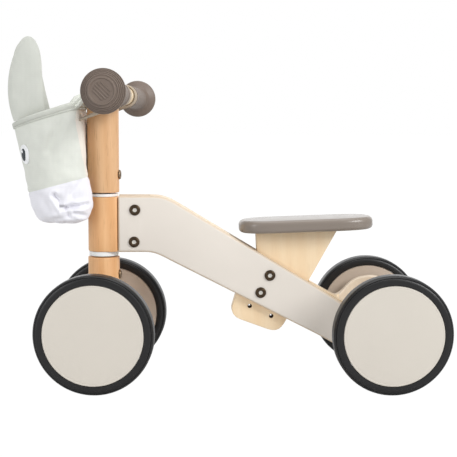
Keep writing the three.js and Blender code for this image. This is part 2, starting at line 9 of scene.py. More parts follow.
import bmesh
import bpy
from mathutils import Matrix, Vector, noise
from mathutils.bvhtree import BVHTree


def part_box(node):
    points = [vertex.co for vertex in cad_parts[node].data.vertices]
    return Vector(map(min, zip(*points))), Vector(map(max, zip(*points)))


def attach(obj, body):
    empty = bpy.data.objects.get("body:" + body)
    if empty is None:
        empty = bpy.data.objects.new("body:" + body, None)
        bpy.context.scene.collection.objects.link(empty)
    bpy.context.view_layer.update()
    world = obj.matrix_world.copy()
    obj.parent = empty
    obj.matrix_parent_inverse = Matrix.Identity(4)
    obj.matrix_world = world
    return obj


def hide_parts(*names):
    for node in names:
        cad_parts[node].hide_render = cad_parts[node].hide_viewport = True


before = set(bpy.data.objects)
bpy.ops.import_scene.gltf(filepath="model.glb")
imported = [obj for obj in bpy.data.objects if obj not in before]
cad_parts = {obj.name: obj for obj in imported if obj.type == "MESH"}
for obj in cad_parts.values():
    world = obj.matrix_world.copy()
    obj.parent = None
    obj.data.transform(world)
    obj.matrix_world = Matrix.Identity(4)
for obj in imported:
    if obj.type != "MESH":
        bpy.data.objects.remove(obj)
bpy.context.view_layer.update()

# ------------ driving dimensions, as in the CAD
GAP = 0.3
WHEEL_RADIUS = 70
TYRE_HALF = 12
DISC_RADIUS = 58.6
WHEELBASE = 338
FRONT_TRACK = 151
REAR_TRACK = 174
FRONT_AXLE_X = -1
STEER_AT_REST = math.radians(-4.4)
AXLE_BORE = 4.1
POST_RADIUS = 19
BAR_X, BAR_Z, BAR_RADIUS, BAR_HALF = 23.8, 345.4, 11, 150
STEM_FOOT, STEM_TOP = 229.5, 366
POST_FOOT, POST_TOP = 48, 151.5
ROD_FOOT, ROD_TOP = 89, 293
PAST = 1.5  # how far a cutting tool runs past a face
STEM_BOLT_Z, POST_BOLT_Z = 250.7, 129.8
ROD_BORE = 6.1  # for the steering rod
SCREW_BORE = 3.1  # for the stem, post and handlebar bolts
NUT_BORE = 4.5  # for the sleeve nuts through the frame
HEAD_LOW, HEAD_HIGH, HEAD_BORE, BUSH_BORE = 158.7, 224.3, 7, 9.1
HEAD_BOLTS = [(38.4, 209.2), (37.4, 170.8)]
SEAT_BOLTS = [(201.1, 129.8), (190, 108.8)]
SPARE_HOLES = [(177.5, 90.6), (204, 78.1)]
CORE_HALF = 8.7
PLATE_HALF = 5
PLATE_MIDDLE = 14
OUTSIDE = PLATE_MIDDLE + PLATE_HALF + GAP  # where the bolt heads sit
LEG_MIDDLE = 64.7
FLARE_START, FLARE_ANGLE = 254, math.radians(67)
BEND = (LEG_MIDDLE - PLATE_MIDDLE) / (2 * (1 - math.cos(FLARE_ANGLE)))
FLARE_END = FLARE_START + 2 * BEND * math.sin(FLARE_ANGLE)
LEG_END = 47.5
SEAT_FRONT, SEAT_REAR, SEAT_HALF, SEAT_THICK = 164.2, 328.2, 35, 15
SEAT_RISE, SEAT_LOW_AT, SEAT_LOW = 0.036, 222, 182.7

# ------------ spaces
low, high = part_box("head_bush_upper")
AXIS = Matrix.Translation(((low.x + high.x) / 2, (low.y + high.y) / 2, 0))
FRAME_SPACE = AXIS @ Matrix.Scale(0.001, 4)
FORK_SPACE = FRAME_SPACE @ Matrix.Rotation(STEER_AT_REST, 4, "Z")
MIRROR = Matrix.Scale(-1, 4, (0, 1, 0))


def at(x, y, z):
    return Matrix.Translation((x, y, z))


def turn(degrees, axis):
    return Matrix.Rotation(math.radians(degrees), 4, axis)


# ------------ outlines, as lists of (a, b)
def arc(centre, radius, start, end, steps):
    angles = [math.radians(start + (end - start) * i / steps) for i in range(steps + 1)]
    return [(centre[0] + radius * math.cos(a), centre[1] + radius * math.sin(a)) for a in angles]


def bezier(a, b, c, d, steps):
    points = []
    for i in range(steps + 1):
        t = i / steps
        s = 1 - t
        weights = (s * s * s, 3 * s * s * t, 3 * s * t * t, t * t * t)
        points.append(tuple(sum(w * p[k] for w, p in zip(weights, (a, b, c, d))) for k in (0, 1)))
    return points


def rounded(corners, steps=4):
    """An open line through (a, b, radius) corners, each rounded by its radius."""
    points = []
    for i, (a, b, radius) in enumerate(corners):
        if not radius or i in (0, len(corners) - 1):
            points.append((a, b))
            continue
        corner = Vector((a, b))
        back = (Vector(corners[i - 1][:2]) - corner).normalized()
        ahead = (Vector(corners[i + 1][:2]) - corner).normalized()
        reach = radius / math.tan(back.angle(ahead) / 2)
        start, end = corner + back * reach, corner + ahead * reach
        for k in range(steps + 1):
            t = k / steps
            point = start * (1 - t) ** 2 + corner * 2 * t * (1 - t) + end * t * t
            points.append(tuple(point))
    return points


def inset(outline, distance):
    """A closed outline moved inwards; it runs anticlockwise, or the distance is negative."""
    moved = []
    for i, point in enumerate(outline):
        here = Vector(point)
        before = (here - Vector(outline[i - 1])).normalized()
        after = (Vector(outline[(i + 1) % len(outline)]) - here).normalized()
        normal = Vector((-before.y - after.y, before.x + after.x)).normalized()
        lean = max(normal.dot(Vector((-before.y, before.x))), 0.35)
        moved.append(tuple(here + normal * distance / lean))
    return moved


def between(line, x):
    """The height at x of a line whose points run towards +x."""
    for (xa, za), (xb, zb) in zip(line, line[1:]):
        if xa <= x <= xb:
            return za + (zb - za) * (x - xa) / max(xb - xa, 1e-9)
    return line[-1][1]


# ------------ mesh builders
def lathe(profile, segments=48, closed=False):
    """A solid turned about Y from (radius, y) points, or (radius, y, sides) for a polygon."""
    bm = bmesh.new()
    rings = []
    for radius, y, *sides in profile:
        if radius <= 0:
            rings.append([bm.verts.new((0, y, 0))])
            continue
        ring = []
        for i in range(segments):
            angle = 2 * math.pi * i / segments
            reach = radius
            if sides:
                part = 2 * math.pi / sides[0]
                reach = radius / math.cos(angle % part - part / 2)
            ring.append(bm.verts.new((reach * math.cos(angle), y, reach * math.sin(angle))))
        rings.append(ring)
    if closed:
        rings.append(rings[0])
    for a, b in zip(rings, rings[1:]):
        for i in range(segments):
            j = (i + 1) % segments
            corners = [a[i % len(a)], a[j % len(a)], b[j % len(b)], b[i % len(b)]]
            face = list(dict.fromkeys(corners))
            if len(face) > 2:
                bm.faces.new(face)
    return bm


def skin(bm, a, b):
    """Quads between two rings of vertices that pair one to one."""
    count = len(a)
    return [bm.faces.new((a[i], a[(i + 1) % count], b[(i + 1) % count], b[i])) for i in range(count)]


def stacked(rings, capped=True):
    """A skin over equal rings of 3-D points; it closes on itself where the last ring is the first."""
    bm = bmesh.new()
    looped = rings[-1] is rings[0]
    made = [[bm.verts.new(point) for point in ring] for ring in rings[:len(rings) - looped]]
    if looped:
        made.append(made[0])
    for a, b in zip(made, made[1:]):
        skin(bm, a, b)
    if capped:
        bm.faces.new(made[0][::-1])
        bm.faces.new(made[-1])
    return bm


def rounding(low, high, low_radius, high_radius, steps=4):
    """(inset, height) levels of a slab with rounded lower and upper edges."""
    quarter = [math.pi / 2 * i / steps for i in range(steps + 1)]
    lower = [(low_radius * (1 - math.sin(a)), low + low_radius * (1 - math.cos(a))) for a in quarter]
    upper = [(high_radius * (1 - math.sin(a)), high - high_radius * (1 - math.cos(a))) for a in quarter]
    return lower + upper[::-1]


def slab(outline, low, high, low_radius=1.0, high_radius=1.0, steps=3):
    """A closed outline in X and Y, thickened along Z with rounded edges."""
    levels = rounding(low, high, low_radius, high_radius, steps)
    return stacked([[(x, y, height) for x, y in inset(outline, edge)] for edge, height in levels])


def side_slab(outline, half, radius=1.2):
    """An outline in X and Z, thickened across the bike with rounded edges."""
    return moved(slab(outline, -half, half, radius, radius), turn(90, "X"))


def moved(bm, matrix):
    bmesh.ops.transform(bm, matrix=matrix, verts=bm.verts)
    return bm


def joined(*parts):
    whole = bmesh.new()
    for part in parts:
        mesh = bpy.data.meshes.new("part")
        part.to_mesh(mesh)
        part.free()
        whole.from_mesh(mesh)
        bpy.data.meshes.remove(mesh)
    return whole


def rod(radius, start, end, axis="Y"):
    bm = lathe([(0, start), (radius, start), (radius, end), (0, end)], 32)
    turns = {"X": turn(-90, "Z"), "Y": Matrix(), "Z": turn(90, "X")}
    return moved(bm, turns[axis])


def cross_holes(places, radius, start=-30, end=30):
    """Tools that drill across the bike at (x, z) places."""
    return [moved(rod(radius, start, end), at(x, 0, z)) for x, z in places]


def linked(name, data):
    thing = bpy.data.objects.new(name, data)
    bpy.context.scene.collection.objects.link(thing)
    return thing


def as_object(name, bm, space):
    moved(bm, space)
    bmesh.ops.recalc_face_normals(bm, faces=bm.faces)
    mesh = bpy.data.meshes.new(name)
    bm.to_mesh(mesh)
    bm.free()
    return linked(name, mesh)


def bake_modifiers(piece):
    shown = piece.evaluated_get(bpy.context.evaluated_depsgraph_get())
    mesh = bpy.data.meshes.new_from_object(shown)
    piece.modifiers.clear()
    piece.data = mesh


def carve(piece, tools, space, operation="DIFFERENCE"):
    made = [as_object("tool", tool, space) for tool in tools]
    for tool in made:
        change = piece.modifiers.new("carve", "BOOLEAN")
        change.operation = operation
        change.solver = "EXACT"
        change.object = tool
    bake_modifiers(piece)
    for tool in made:
        bpy.data.objects.remove(tool)


def finish_piece(piece, body, looks, replaces=(), crease=35):
    for look in looks:
        piece.data.materials.append(look)
    piece.data.shade_smooth()
    piece.data.set_sharp_from_angle(angle=math.radians(crease))
    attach(piece, body)
    if replaces:
        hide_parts(*replaces)


def add(name, bm, space, body, looks, replaces=(), crease=35):
    finish_piece(as_object(name, bm, space), body, looks, replaces, crease)


def add_for(node, bm, space, body, looks, crease=35):
    """A piece that stands in for the CAD node it is named after."""
    add(f"{node}_piece", bm, space, body, looks, [node], crease)


def add_drilled(node, bm, tools, space, body, looks):
    """The same, with the tools cut out of it."""
    piece = as_object(f"{node}_piece", bm, space)
    carve(piece, tools, space)
    finish_piece(piece, body, looks, [node])


# ------------ materials
PLY_LAYER = 1.4
THREADS_TO_WAVE = 1 / (2 * math.pi) / 3.2  # from a thread's width to a wave's scale


def srgb(*channels):
    shares = [c / 255 for c in channels]
    return tuple(c / 12.92 if c <= 0.04045 else ((c + 0.055) / 1.055) ** 2.4 for c in shares) + (1,)


def dimmed(colour, share):
    return tuple(c * share for c in colour[:3]) + (1,)


def set_inputs(node, **values):
    for name, value in values.items():
        node.inputs[name.replace("_", " ")].default_value = value


class Look:
    """A Principled material with short calls for its nodes."""

    def __init__(self, name, roughness, metallic=0.0, **sockets):
        self.material = bpy.data.materials.new(name)
        self.material.use_nodes = True
        self.nodes = self.material.node_tree.nodes
        self.links = self.material.node_tree.links
        self.shader = self.nodes["Principled BSDF"]
        set_inputs(self.shader, Roughness=roughness, Metallic=metallic, **sockets)
        self.place = self.nodes.new("ShaderNodeTexCoord").outputs["Object"]

    def link(self, value, socket):
        if isinstance(value, bpy.types.NodeSocket):
            self.links.new(value, socket)
        else:
            socket.default_value = value

    def node(self, kind, output, settings, **inputs):
        """One node with its settings and inputs, and the output asked for."""
        node = self.nodes.new("ShaderNode" + kind)
        for name, value in settings.items():
            setattr(node, name, value)
        for name, value in inputs.items():
            self.link(value, node.inputs[name.replace("_", " ")])
        return node.outputs[output]

    def stretched(self, scale):
        return self.node("Mapping", "Vector", {}, Vector=self.place, Scale=scale)

    def noise(self, scale, detail=3.0, vector=None, distortion=0.0):
        return self.node("TexNoise", "Fac", {}, Vector=vector or self.place, Scale=scale, Detail=detail,
                         Distortion=distortion)

    def wave(self, scale, distortion, vector=None, direction="X", detail=2.0):
        return self.node("TexWave", "Fac", {"bands_direction": direction}, Vector=vector or self.place,
                         Scale=scale, Distortion=distortion, Detail=detail)

    def range(self, value, low, high):
        return self.node("MapRange", "Result", {}, Value=value, To_Min=low, To_Max=high)

    def math(self, operation, a, b=0.0):
        node = self.nodes.new("ShaderNodeMath")
        node.operation = operation
        self.link(a, node.inputs[0])
        self.link(b, node.inputs[1])
        return node.outputs[0]

    def ramp(self, value, *stops):
        node = self.nodes.new("ShaderNodeValToRGB")
        for element, (position, colour) in zip(node.color_ramp.elements, stops):
            element.position = position
            element.color = colour
        self.link(value, node.inputs["Fac"])
        return node.outputs["Color"]

    def mix(self, share, a, b):
        """Colour a, and `share` of colour b over it."""
        node = self.nodes.new("ShaderNodeMix")
        node.data_type = "RGBA"
        for value, socket in ((share, 0), (a, 6), (b, 7)):
            self.link(value, node.inputs[socket])
        return node.outputs[2]

    def colour(self, value):
        self.link(value, self.shader.inputs["Base Color"])

    def roughness(self, value, low, high):
        self.link(self.range(value, low, high), self.shader.inputs["Roughness"])

    def bump(self, height, depth, strength):
        normal = self.node("Bump", "Normal", {}, Distance=depth, Strength=strength, Height=height)
        self.link(normal, self.shader.inputs["Normal"])


def wood(name, pale, deep, along, flame=0.35, pores=0.5):
    """Clear-lacquered hardwood with its grain along one axis: X, Y or Z."""
    look = Look(name, 0.42, IOR=1.46, Coat_Weight=0.15, Coat_Roughness=0.25)
    slow = [1.0, 1.0, 1.0]
    slow["XYZ".index(along)] = 0.06
    grain = look.stretched(slow)
    fibre = look.noise(420, 5, grain)
    rings = look.wave(34, 5.5, grain, "DIAGONAL", 3)
    broad = look.noise(38, 3, grain, 0.6)
    body = look.mix(look.range(rings, 0, flame), pale, deep)
    body = look.mix(look.range(broad, -0.15, 0.75), body, deep)
    fleck = look.ramp(look.noise(900, 2, grain), (0.60, (0, 0, 0, 1)), (0.72, (1, 1, 1, 1)))
    body = look.mix(look.math("MULTIPLY", fleck, pores), body, dimmed(deep, 0.72))
    look.colour(look.mix(look.range(fibre, 0, 0.5), body, deep))
    look.roughness(fibre, 0.36, 0.52)
    look.bump(fibre, 0.00012, 0.35)
    return look.material


def ply_edge(name, pale, deep):
    """The cut edge of birch plywood: thin layers, every other one showing its end grain."""
    look = Look(name, 0.62, IOR=1.45)
    across = look.node("Attribute", "Fac", {"attribute_name": "across"})
    layer = look.math("SINE", look.math("MULTIPLY", across, math.pi / PLY_LAYER))
    long_grain = look.ramp(layer, (0.42, (0, 0, 0, 1)), (0.58, (1, 1, 1, 1)))
    streak = look.noise(300, 4, look.stretched((0.35, 1, 0.35)))
    colour = look.mix(look.range(long_grain, 0, 0.4), pale, deep)
    look.colour(look.mix(look.range(streak, 0, 0.35), colour, deep))
    look.bump(layer, 0.0001, 0.4)
    look.roughness(streak, 0.5, 0.72)
    return look.material


def painted(name, colour, roughness, ripple=0.00006, coat=0.0):
    """Sprayed satin paint with a faint orange peel and a little drift in tone."""
    look = Look(name, roughness, IOR=1.47, Coat_Weight=coat, Coat_Roughness=0.18)
    look.colour(look.mix(look.range(look.noise(9, 3), 0, 1), colour, dimmed(colour, 0.9)))
    look.bump(look.noise(1600, 2), ripple, 0.35)
    look.roughness(look.noise(60, 3), roughness - 0.06, roughness + 0.06)
    return look.material


def rubber(name, colour, roughness, grit=1300, dust=0.25, ior=1.5):
    """Moulded rubber with a fine grit and a little dust."""
    look = Look(name, roughness, IOR=ior)
    speck = look.noise(grit, 3)
    dusty = tuple(min(c * 1.6 + 0.01, 1) for c in colour[:3]) + (1,)
    cloud = look.noise(22, 4)
    share = look.math("MULTIPLY", look.math("MULTIPLY", speck, cloud), 2 * dust)
    look.colour(look.mix(share, colour, dusty))
    look.bump(speck, 0.00008, 0.5)
    look.roughness(cloud, roughness - 0.05, roughness + 0.12)
    return look.material


def metal(name, colour, roughness):
    """Plated or blackened steel with a fine brushed finish."""
    look = Look(name, roughness, 1.0)
    brushed = look.noise(1500, 2, look.stretched((1, 0.15, 1)))
    stain = look.noise(260, 3)
    look.colour(look.mix(look.range(stain, 0, 0.8), colour, dimmed(colour, 0.7)))
    look.bump(brushed, 0.00002, 0.3)
    look.roughness(brushed, roughness - 0.06, roughness + 0.1)
    return look.material


def woven(name, colour, slub, thread=0.00042):
    """Plain-weave cotton: two sets of threads with slubs and a soft sheen."""
    look = Look(name, 0.92, IOR=1.4, Sheen_Weight=0.25, Sheen_Roughness=0.5)
    pitch, wobble = THREADS_TO_WAVE / thread, 0.6
    warp = look.wave(pitch, wobble, look.stretched((1, 1, 0)), "DIAGONAL")
    weft = look.wave(pitch, wobble, None, "Z")
    cloth = look.math("MULTIPLY", warp, weft)
    blotch = look.noise(90, 4, None, 0.4)
    base = look.mix(look.range(blotch, 0, 0.9), colour, dimmed(colour, 1 - 2.2 * slub))
    look.colour(look.mix(look.range(cloth, 0.12, 0), base, dimmed(colour, 0.8)))
    look.bump(look.math("ADD", look.math("MULTIPLY", cloth, 0.3), blotch), 0.0002, 0.4)
    return look.material


def plain_plastic(name, colour, roughness):
    """Turned white nylon with faint tool marks."""
    look = Look(name, roughness, IOR=1.53, Subsurface_Weight=0.05)
    marks = look.noise(700, 2, look.stretched((1, 1, 3)))
    look.colour(look.mix(look.range(marks, 0, 1), colour, dimmed(colour, 0.94)))
    look.bump(marks, 0.00004, 0.3)
    look.roughness(marks, roughness - 0.05, roughness + 0.08)
    return look.material


BEECH = wood("beech", srgb(240, 203, 160), srgb(200, 148, 98), "Z", 0.5, 0.6)
BEECH_HEAD = wood("beech_head_block", srgb(246, 202, 152), srgb(216, 156, 100), "Z", 0.5)
BIRCH = wood("birch_ply_face", srgb(250, 231, 200), srgb(235, 203, 160), "Z", 0.3, 0.2)
DOWEL = wood("birch_dowel", srgb(240, 222, 190), srgb(222, 192, 150), "Y", 0.25, 0.3)
CORE_PLY = wood("birch_core", srgb(246, 230, 202), srgb(222, 192, 152), "X", 0.5, 0.3)
PLY_EDGE = ply_edge("birch_ply_edge", srgb(218, 204, 186), srgb(200, 178, 150))
CREAM_PAINT = painted("cream_paint", srgb(226, 218, 208), 0.45)
DISC_PAINT = painted("disc_paint", srgb(211, 204, 193), 0.5)
SEAT_PAINT = painted("taupe_seat_paint", srgb(132, 121, 111), 0.32, 0.00001, coat=0.35)
TYRE_RUBBER = rubber("tyre_rubber", srgb(14, 13, 14), 0.34, ior=1.47)
GRIP_RUBBER = rubber("grip_rubber", srgb(112, 98, 88), 0.42, 1700, 0.2)
BRONZE = metal("bronzed_steel", srgb(84, 70, 56), 0.3)
# a lighter copy of the bronze for the stem and post bolts: partly their own paler finish, partly a painted
# highlight from the lit side of the stem
BRONZE_PALE_AND_LIT = metal("bronzed_steel_pale_painted_highlight", srgb(150, 128, 104), 0.28)
# near-white metal for the bolt sockets: a painted highlight standing in for the light caught inside them
PAINTED_SOCKET_GLINT = metal("socket_painted_highlight", srgb(240, 236, 228), 0.4)
STEEL = metal("zinc_steel", srgb(190, 190, 188), 0.3)
NYLON = plain_plastic("white_nylon", srgb(244, 244, 242), 0.42)
SAGE = woven("sage_cotton", srgb(229, 231, 222), 0.06)
# a darker copy of the sage cotton: painted shade on the ears
SAGE_EAR_SHADED = woven("sage_cotton_ear_painted_shade", srgb(205, 207, 199), 0.06)
# a darker copy of the sage cotton: painted shade on the hem band round the rim
SAGE_HEM_SHADED = woven("sage_cotton_hem_painted_shade", srgb(207, 209, 200), 0.06)
MUZZLE = woven("white_cotton", srgb(241, 240, 246), 0.03)
LINING = woven("linen_back", srgb(246, 238, 227), 0.06)
WEBBING = woven("cream_webbing", srgb(186, 172, 153), 0.15, 0.0008)
FELT_WHITE = woven("white_felt", srgb(248, 249, 250), 0.03)
FELT_DARK = woven("dark_felt", srgb(62, 68, 72), 0.1)
# dark wood for the inside of the drilled holes: painted shade on their walls and floors
HOLE_SHADE = wood("drilled_hole_painted_shade", srgb(120, 84, 52), srgb(70, 44, 26), "Z", 0.5, 0.4)
# a darker copy of the disc paint for the wheels' inner faces: painted shade from between the wheels
DISC_BACK_SHADED = painted("disc_back_painted_shade", srgb(196, 180, 164), 0.5)

# ------------ wheels, turned about Y
SHOULDER = 6.5


def tyre():
    """One half of the section: lip, side wall, groove and shoulder; then its mirror image."""
    centre = (WHEEL_RADIUS - SHOULDER, TYRE_HALF - SHOULDER)
    side = [(58.9, 11.2), (59.3, 11.8), (60, TYRE_HALF), (63, TYRE_HALF)]
    face = arc(centre, SHOULDER, 84, 62, 4)
    groove = [(67.0, 10.55), (67.0, 9.9), (67.6, 10.2)]
    crown = arc(centre, SHOULDER, 46, 0, 6)
    half = side + face + groove + crown + [(WHEEL_RADIUS, 2.2)]
    return lathe(half + [(r, -y) for r, y in reversed(half)], 96, closed=True)


def wheel_core():
    profile = [
        (AXLE_BORE, -14, 0), (13, -14, 0.8), (13, -11, 0.8), (DISC_RADIUS, -11, 1),
        (DISC_RADIUS, 6, 0.6), (11, 6, 0.6), (11, -4, 0.3), (AXLE_BORE, -4, 0),
    ]
    return lathe(rounded(profile), 72, closed=True)


def wheel_cover():
    profile = [(0, 6.3, 0), (DISC_RADIUS, 6.3, 0.3), (DISC_RADIUS, 11.8, 1.1), (56.6, 11.8, 0.2),
               (56.1, 11.6, 0.2), (55.4, 11.8, 0.2), (0, 11.8, 0)]
    return lathe(rounded(profile), 96)


def add_wheel(place, side, x, track, space):
    hub = space @ at(x, side * track / 2, WHEEL_RADIUS) @ turn(0 if side > 0 else 180, "Z")
    body = f"{place}_wheel"
    add_for(f"{place}_tyre", tyre(), hub, body, [TYRE_RUBBER], 28)
    # the inner face takes the darker disc paint, which is painted shade
    add(f"{place}_core_piece", wheel_core(), hub, body, [DISC_BACK_SHADED], [f"{place}_wheel_core"])
    add(f"{place}_cover_piece", wheel_cover(), hub, body, [DISC_PAINT], [f"{place}_wheel_cover"])


def add_wheels():
    for name, side in (("left", -1), ("right", 1)):
        add_wheel(f"front_{name}", side, FRONT_AXLE_X, FRONT_TRACK, FORK_SPACE)
        add_wheel(f"rear_{name}", side, WHEELBASE, REAR_TRACK, FRAME_SPACE)


# ------------ posts, bushes and handlebar
UPRIGHT = turn(90, "X")


def post(bottom, top, bottom_radius, top_radius):
    profile = [(0, bottom, 0), (POST_RADIUS, bottom, bottom_radius),
               (POST_RADIUS, top, top_radius), (0, top, 0)]
    return moved(lathe(rounded(profile, 6), 72), UPRIGHT)


def screw_hole(start, end, height):
    return moved(rod(SCREW_BORE, start, end, "X"), at(0, 0, height))


def add_posts():
    tools = [rod(ROD_BORE, STEM_FOOT - PAST, ROD_TOP, "Z"), *cross_holes([(BAR_X, BAR_Z)], BAR_RADIUS + GAP)]
    tools += [screw_hole(-30, 30, BAR_Z), screw_hole(0, 30, STEM_BOLT_Z)]
    stem = post(STEM_FOOT, STEM_TOP, 0.9, 4.5)
    add_drilled("stem", stem, tools, FORK_SPACE, "fork", [BEECH])
    tools = [rod(ROD_BORE, ROD_FOOT, POST_TOP + PAST, "Z")]
    tools += cross_holes([(FRONT_AXLE_X, WHEEL_RADIUS)], AXLE_BORE) + [screw_hole(0, 30, POST_BOLT_Z)]
    lower = post(POST_FOOT, POST_TOP, 1.5, 0.9)
    add_drilled("lower_post", lower, tools, FORK_SPACE, "fork", [BEECH_HEAD])


def bush(face, back, sleeve_end):
    """A flanged bush: its flange from face to back, its sleeve from there to sleeve_end."""
    way = 1 if back > face else -1
    profile = [(ROD_BORE, face, 0), (17.6, face, 0.5), (17.6, back, 0.5), (9, back, 0.4),
               (9, sleeve_end, 0.4), (ROD_BORE, sleeve_end, 0)]
    return moved(lathe(rounded(profile[::way]), 64, closed=True), UPRIGHT)


def bolt_head(radius, height, socket, shank_radius, shank_length):
    """A plain shank towards -Y and a low domed head towards +Y, with a hexagonal socket whose walls and
    floor take the second material; on most bolts that is a near-white metal painted as the highlight inside
    the socket.
    """
    shank = rounded([(0, -shank_length, 0), (shank_radius, -shank_length, 0.5), (shank_radius, 0, 0)])
    dome = arc((radius - height, 0), height, 0, 75, 6)
    lip = [(socket + 1.1, height), (socket + 0.5, height - 0.3)]
    hexagon = [(socket, height - 0.5, 6), (socket, 0.35, 6), (socket - 0.5, 0.2, 6), (0, 0.2)]
    bm = lathe(shank + dome + lip + hexagon, 48)
    for face in bm.faces:
        centre = face.calc_center_median()
        reach = math.hypot(centre.x, centre.z)
        # the socket's walls and floor take the second material, which on most bolts is the painted socket
        # highlight
        face.material_index = int(reach < socket * 1.02 and 0 < centre.y < height - 0.6)
    return bm


def add_bolt(name, head, space, body, looks):
    add_for(name, head, space, body, looks)


def add_bolts():
    # bronze heads whose sockets carry the painted highlight
    dark = [BRONZE, PAINTED_SOCKET_GLINT]
    for i, (x, z) in enumerate([*HEAD_BOLTS, *SEAT_BOLTS], 1):
        left = FRAME_SPACE @ at(x, -OUTSIDE, z) @ turn(180, "Z")
        right = FRAME_SPACE @ at(x, OUTSIDE, z)
        add_bolt(f"frame_bolt_{i}", bolt_head(6.6, 2, 2.3, 3, 30), left, "frame", dark)
        add_bolt(f"sleeve_nut_{i}", bolt_head(6.6, 2, 2.3, 4.2, 7), right, "frame", dark)
    for name, z in (("stem_bolt", STEM_BOLT_Z), ("post_bolt", POST_BOLT_Z)):
        back = FORK_SPACE @ at(POST_RADIUS + GAP, 0, z) @ turn(-90, "Z")
        # these heads take the lighter bronze, partly a painted highlight
        add_bolt(name, bolt_head(5.8, 2, 2.5, 3, 20), back, "fork", [BRONZE_PALE_AND_LIT, BRONZE])
    front = FORK_SPACE @ at(-POST_RADIUS - GAP, 0, BAR_Z) @ turn(90, "Z")
    add_bolt("handlebar_bolt", bolt_head(6.6, 2, 2.9, 3, 40), front, "fork", dark)


GRIP_BORE, GRIP_START, GRIP_STOP = 11.1, 37.5, 150.3
CAP_STEPS = [(24.1, 155.6), (22.6, 157.8), (21.0, 159.9), (19.4, 161.8), (17.7, 163.4)]
RIB_FIELD = 9
RIBS = (-6.2, -3.1, 0, 3.1, 6.2)


def grip():
    """A collar, a sleeve with shallow ribs, a flared bell and a stepped cap, towards +Y."""
    sleeve = []
    for k in range(11):
        y = 46 + 8.6 * k
        sleeve += [(12.9, y, 0.4), (13.5, y + 1.4, 0.8), (13.5, y + 5.4, 0.8), (12.9, y + 6.8, 0.4)]
    profile = [(GRIP_BORE, GRIP_START, 0), (14.2, GRIP_START, 0.8), (14.2, 42.5, 0.8), (12.9, 43.5, 0.3),
               *sleeve, (13.4, 141, 1), (16, 147, 2), (23.0, 151.4, 1.2), (24.1, 153, 0.8)]
    for radius, y in CAP_STEPS:
        profile += [(radius, y, 0.7), (radius - 1.1, y, 0.1), (radius - 1.3, y - 0.5, 0.2)]
    profile += [(15.0, 163.2, 0.3), (14.6, 165.3, 0.6), (13.2, 165.3, 0.4), (12.6, 164.2, 0.3),
                (0, 164.6, 0)]
    bore = lathe([(GRIP_BORE, GRIP_START), (GRIP_BORE, GRIP_STOP), (0, GRIP_STOP)], 72)
    whole = joined(lathe(rounded(profile, 3), 72), bore)
    bmesh.ops.remove_doubles(whole, verts=whole.verts, dist=0.001)
    return whole


def cap_rib(offset):
    """One straight raised anti-slip rib across the cap's centre."""
    half = math.sqrt(RIB_FIELD ** 2 - offset ** 2)
    outline = arc((half, 0), 0.75, -90, 90, 6) + arc((-half, 0), 0.75, 90, 270, 6)
    rib = slab(outline, 163.6, 165.2, 0, 0.6, 3)
    return moved(rib, turn(-90, "X") @ turn(45, "Z") @ at(0, offset, 0))


def add_handlebar():
    profile = [(0, -BAR_HALF, 0), (BAR_RADIUS, -BAR_HALF, 1), (BAR_RADIUS, BAR_HALF, 1), (0, BAR_HALF, 0)]
    dowel = moved(lathe(rounded(profile)), at(BAR_X, 0, BAR_Z))
    hole = screw_hole(0, BAR_X + 4, BAR_Z)
    add_drilled("handlebar", dowel, [hole], FORK_SPACE, "fork", [DOWEL])
    for name, flip in (("right", Matrix()), ("left", MIRROR)):
        space = FORK_SPACE @ at(BAR_X, 0, BAR_Z) @ flip
        whole = joined(grip(), *[cap_rib(offset) for offset in RIBS])
        add_for(f"grip_{name}", whole, space, "fork", [GRIP_RUBBER], 30)


def tube(radius, start, end):
    """A tube round an axle."""
    profile = [(AXLE_BORE, start, 0), (radius, start, 0.5), (radius, end, 0.5), (AXLE_BORE, end, 0)]
    return lathe(rounded(profile), 40, closed=True)


def add_turning(name, bm, space, body):
    add_for(name, bm, space, body, [NYLON])


def add_small_turnings():
    front = FORK_SPACE @ at(FRONT_AXLE_X, 0, WHEEL_RADIUS)
    rear = FRAME_SPACE @ at(WHEELBASE, 0, WHEEL_RADIUS)
    for name, sign in (("right", 1), ("left", -1)):
        add_turning(f"front_sleeve_{name}", tube(9, sign * 19.3, sign * 61.2), front, "fork")
        add_turning(f"rear_spacer_{name}", tube(8, sign * 70, sign * 72.7), rear, "frame")
    add_turning("rear_axle_tube", tube(9, -59.4, 59.4), rear, "frame")
    add_turning("head_bush_upper", bush(228, 224.6, 206.3), FRAME_SPACE, "frame")
    add_turning("head_bush_lower", bush(153, 158.4, 176.7), FRAME_SPACE, "frame")


# ------------ wooden frame
TOP_LINE = (
    [(18.4, 225.8), *bezier((58, 225.8), (72, 225.8), (80, 222), (91, 215.4), 10)]
    + bezier((283, 100.2), (290.7, 95.6), (297.5, 96.8), (305, 104.2), 8)
)
BOTTOM_LINE = [(18.4, 158.4), *bezier((50, 158.4), (62, 158.4), (68, 155), (82, 147.5), 10),
               *arc((WHEELBASE, WHEEL_RADIUS), LEG_END, -117.4, -100, 4)]


def bend_y(x, across):
    """The plan of the right plate: how far out a point is at x, `across` out from the middle layer."""
    first, second = BEND - across, BEND + across
    if x <= FLARE_START:
        return PLATE_MIDDLE + across
    if x >= FLARE_END:
        return LEG_MIDDLE + across
    if x - FLARE_START < first * math.sin(FLARE_ANGLE):
        return PLATE_MIDDLE + BEND - math.sqrt(first ** 2 - (x - FLARE_START) ** 2)
    return LEG_MIDDLE - BEND + math.sqrt(max(second ** 2 - (FLARE_END - x) ** 2, 0))


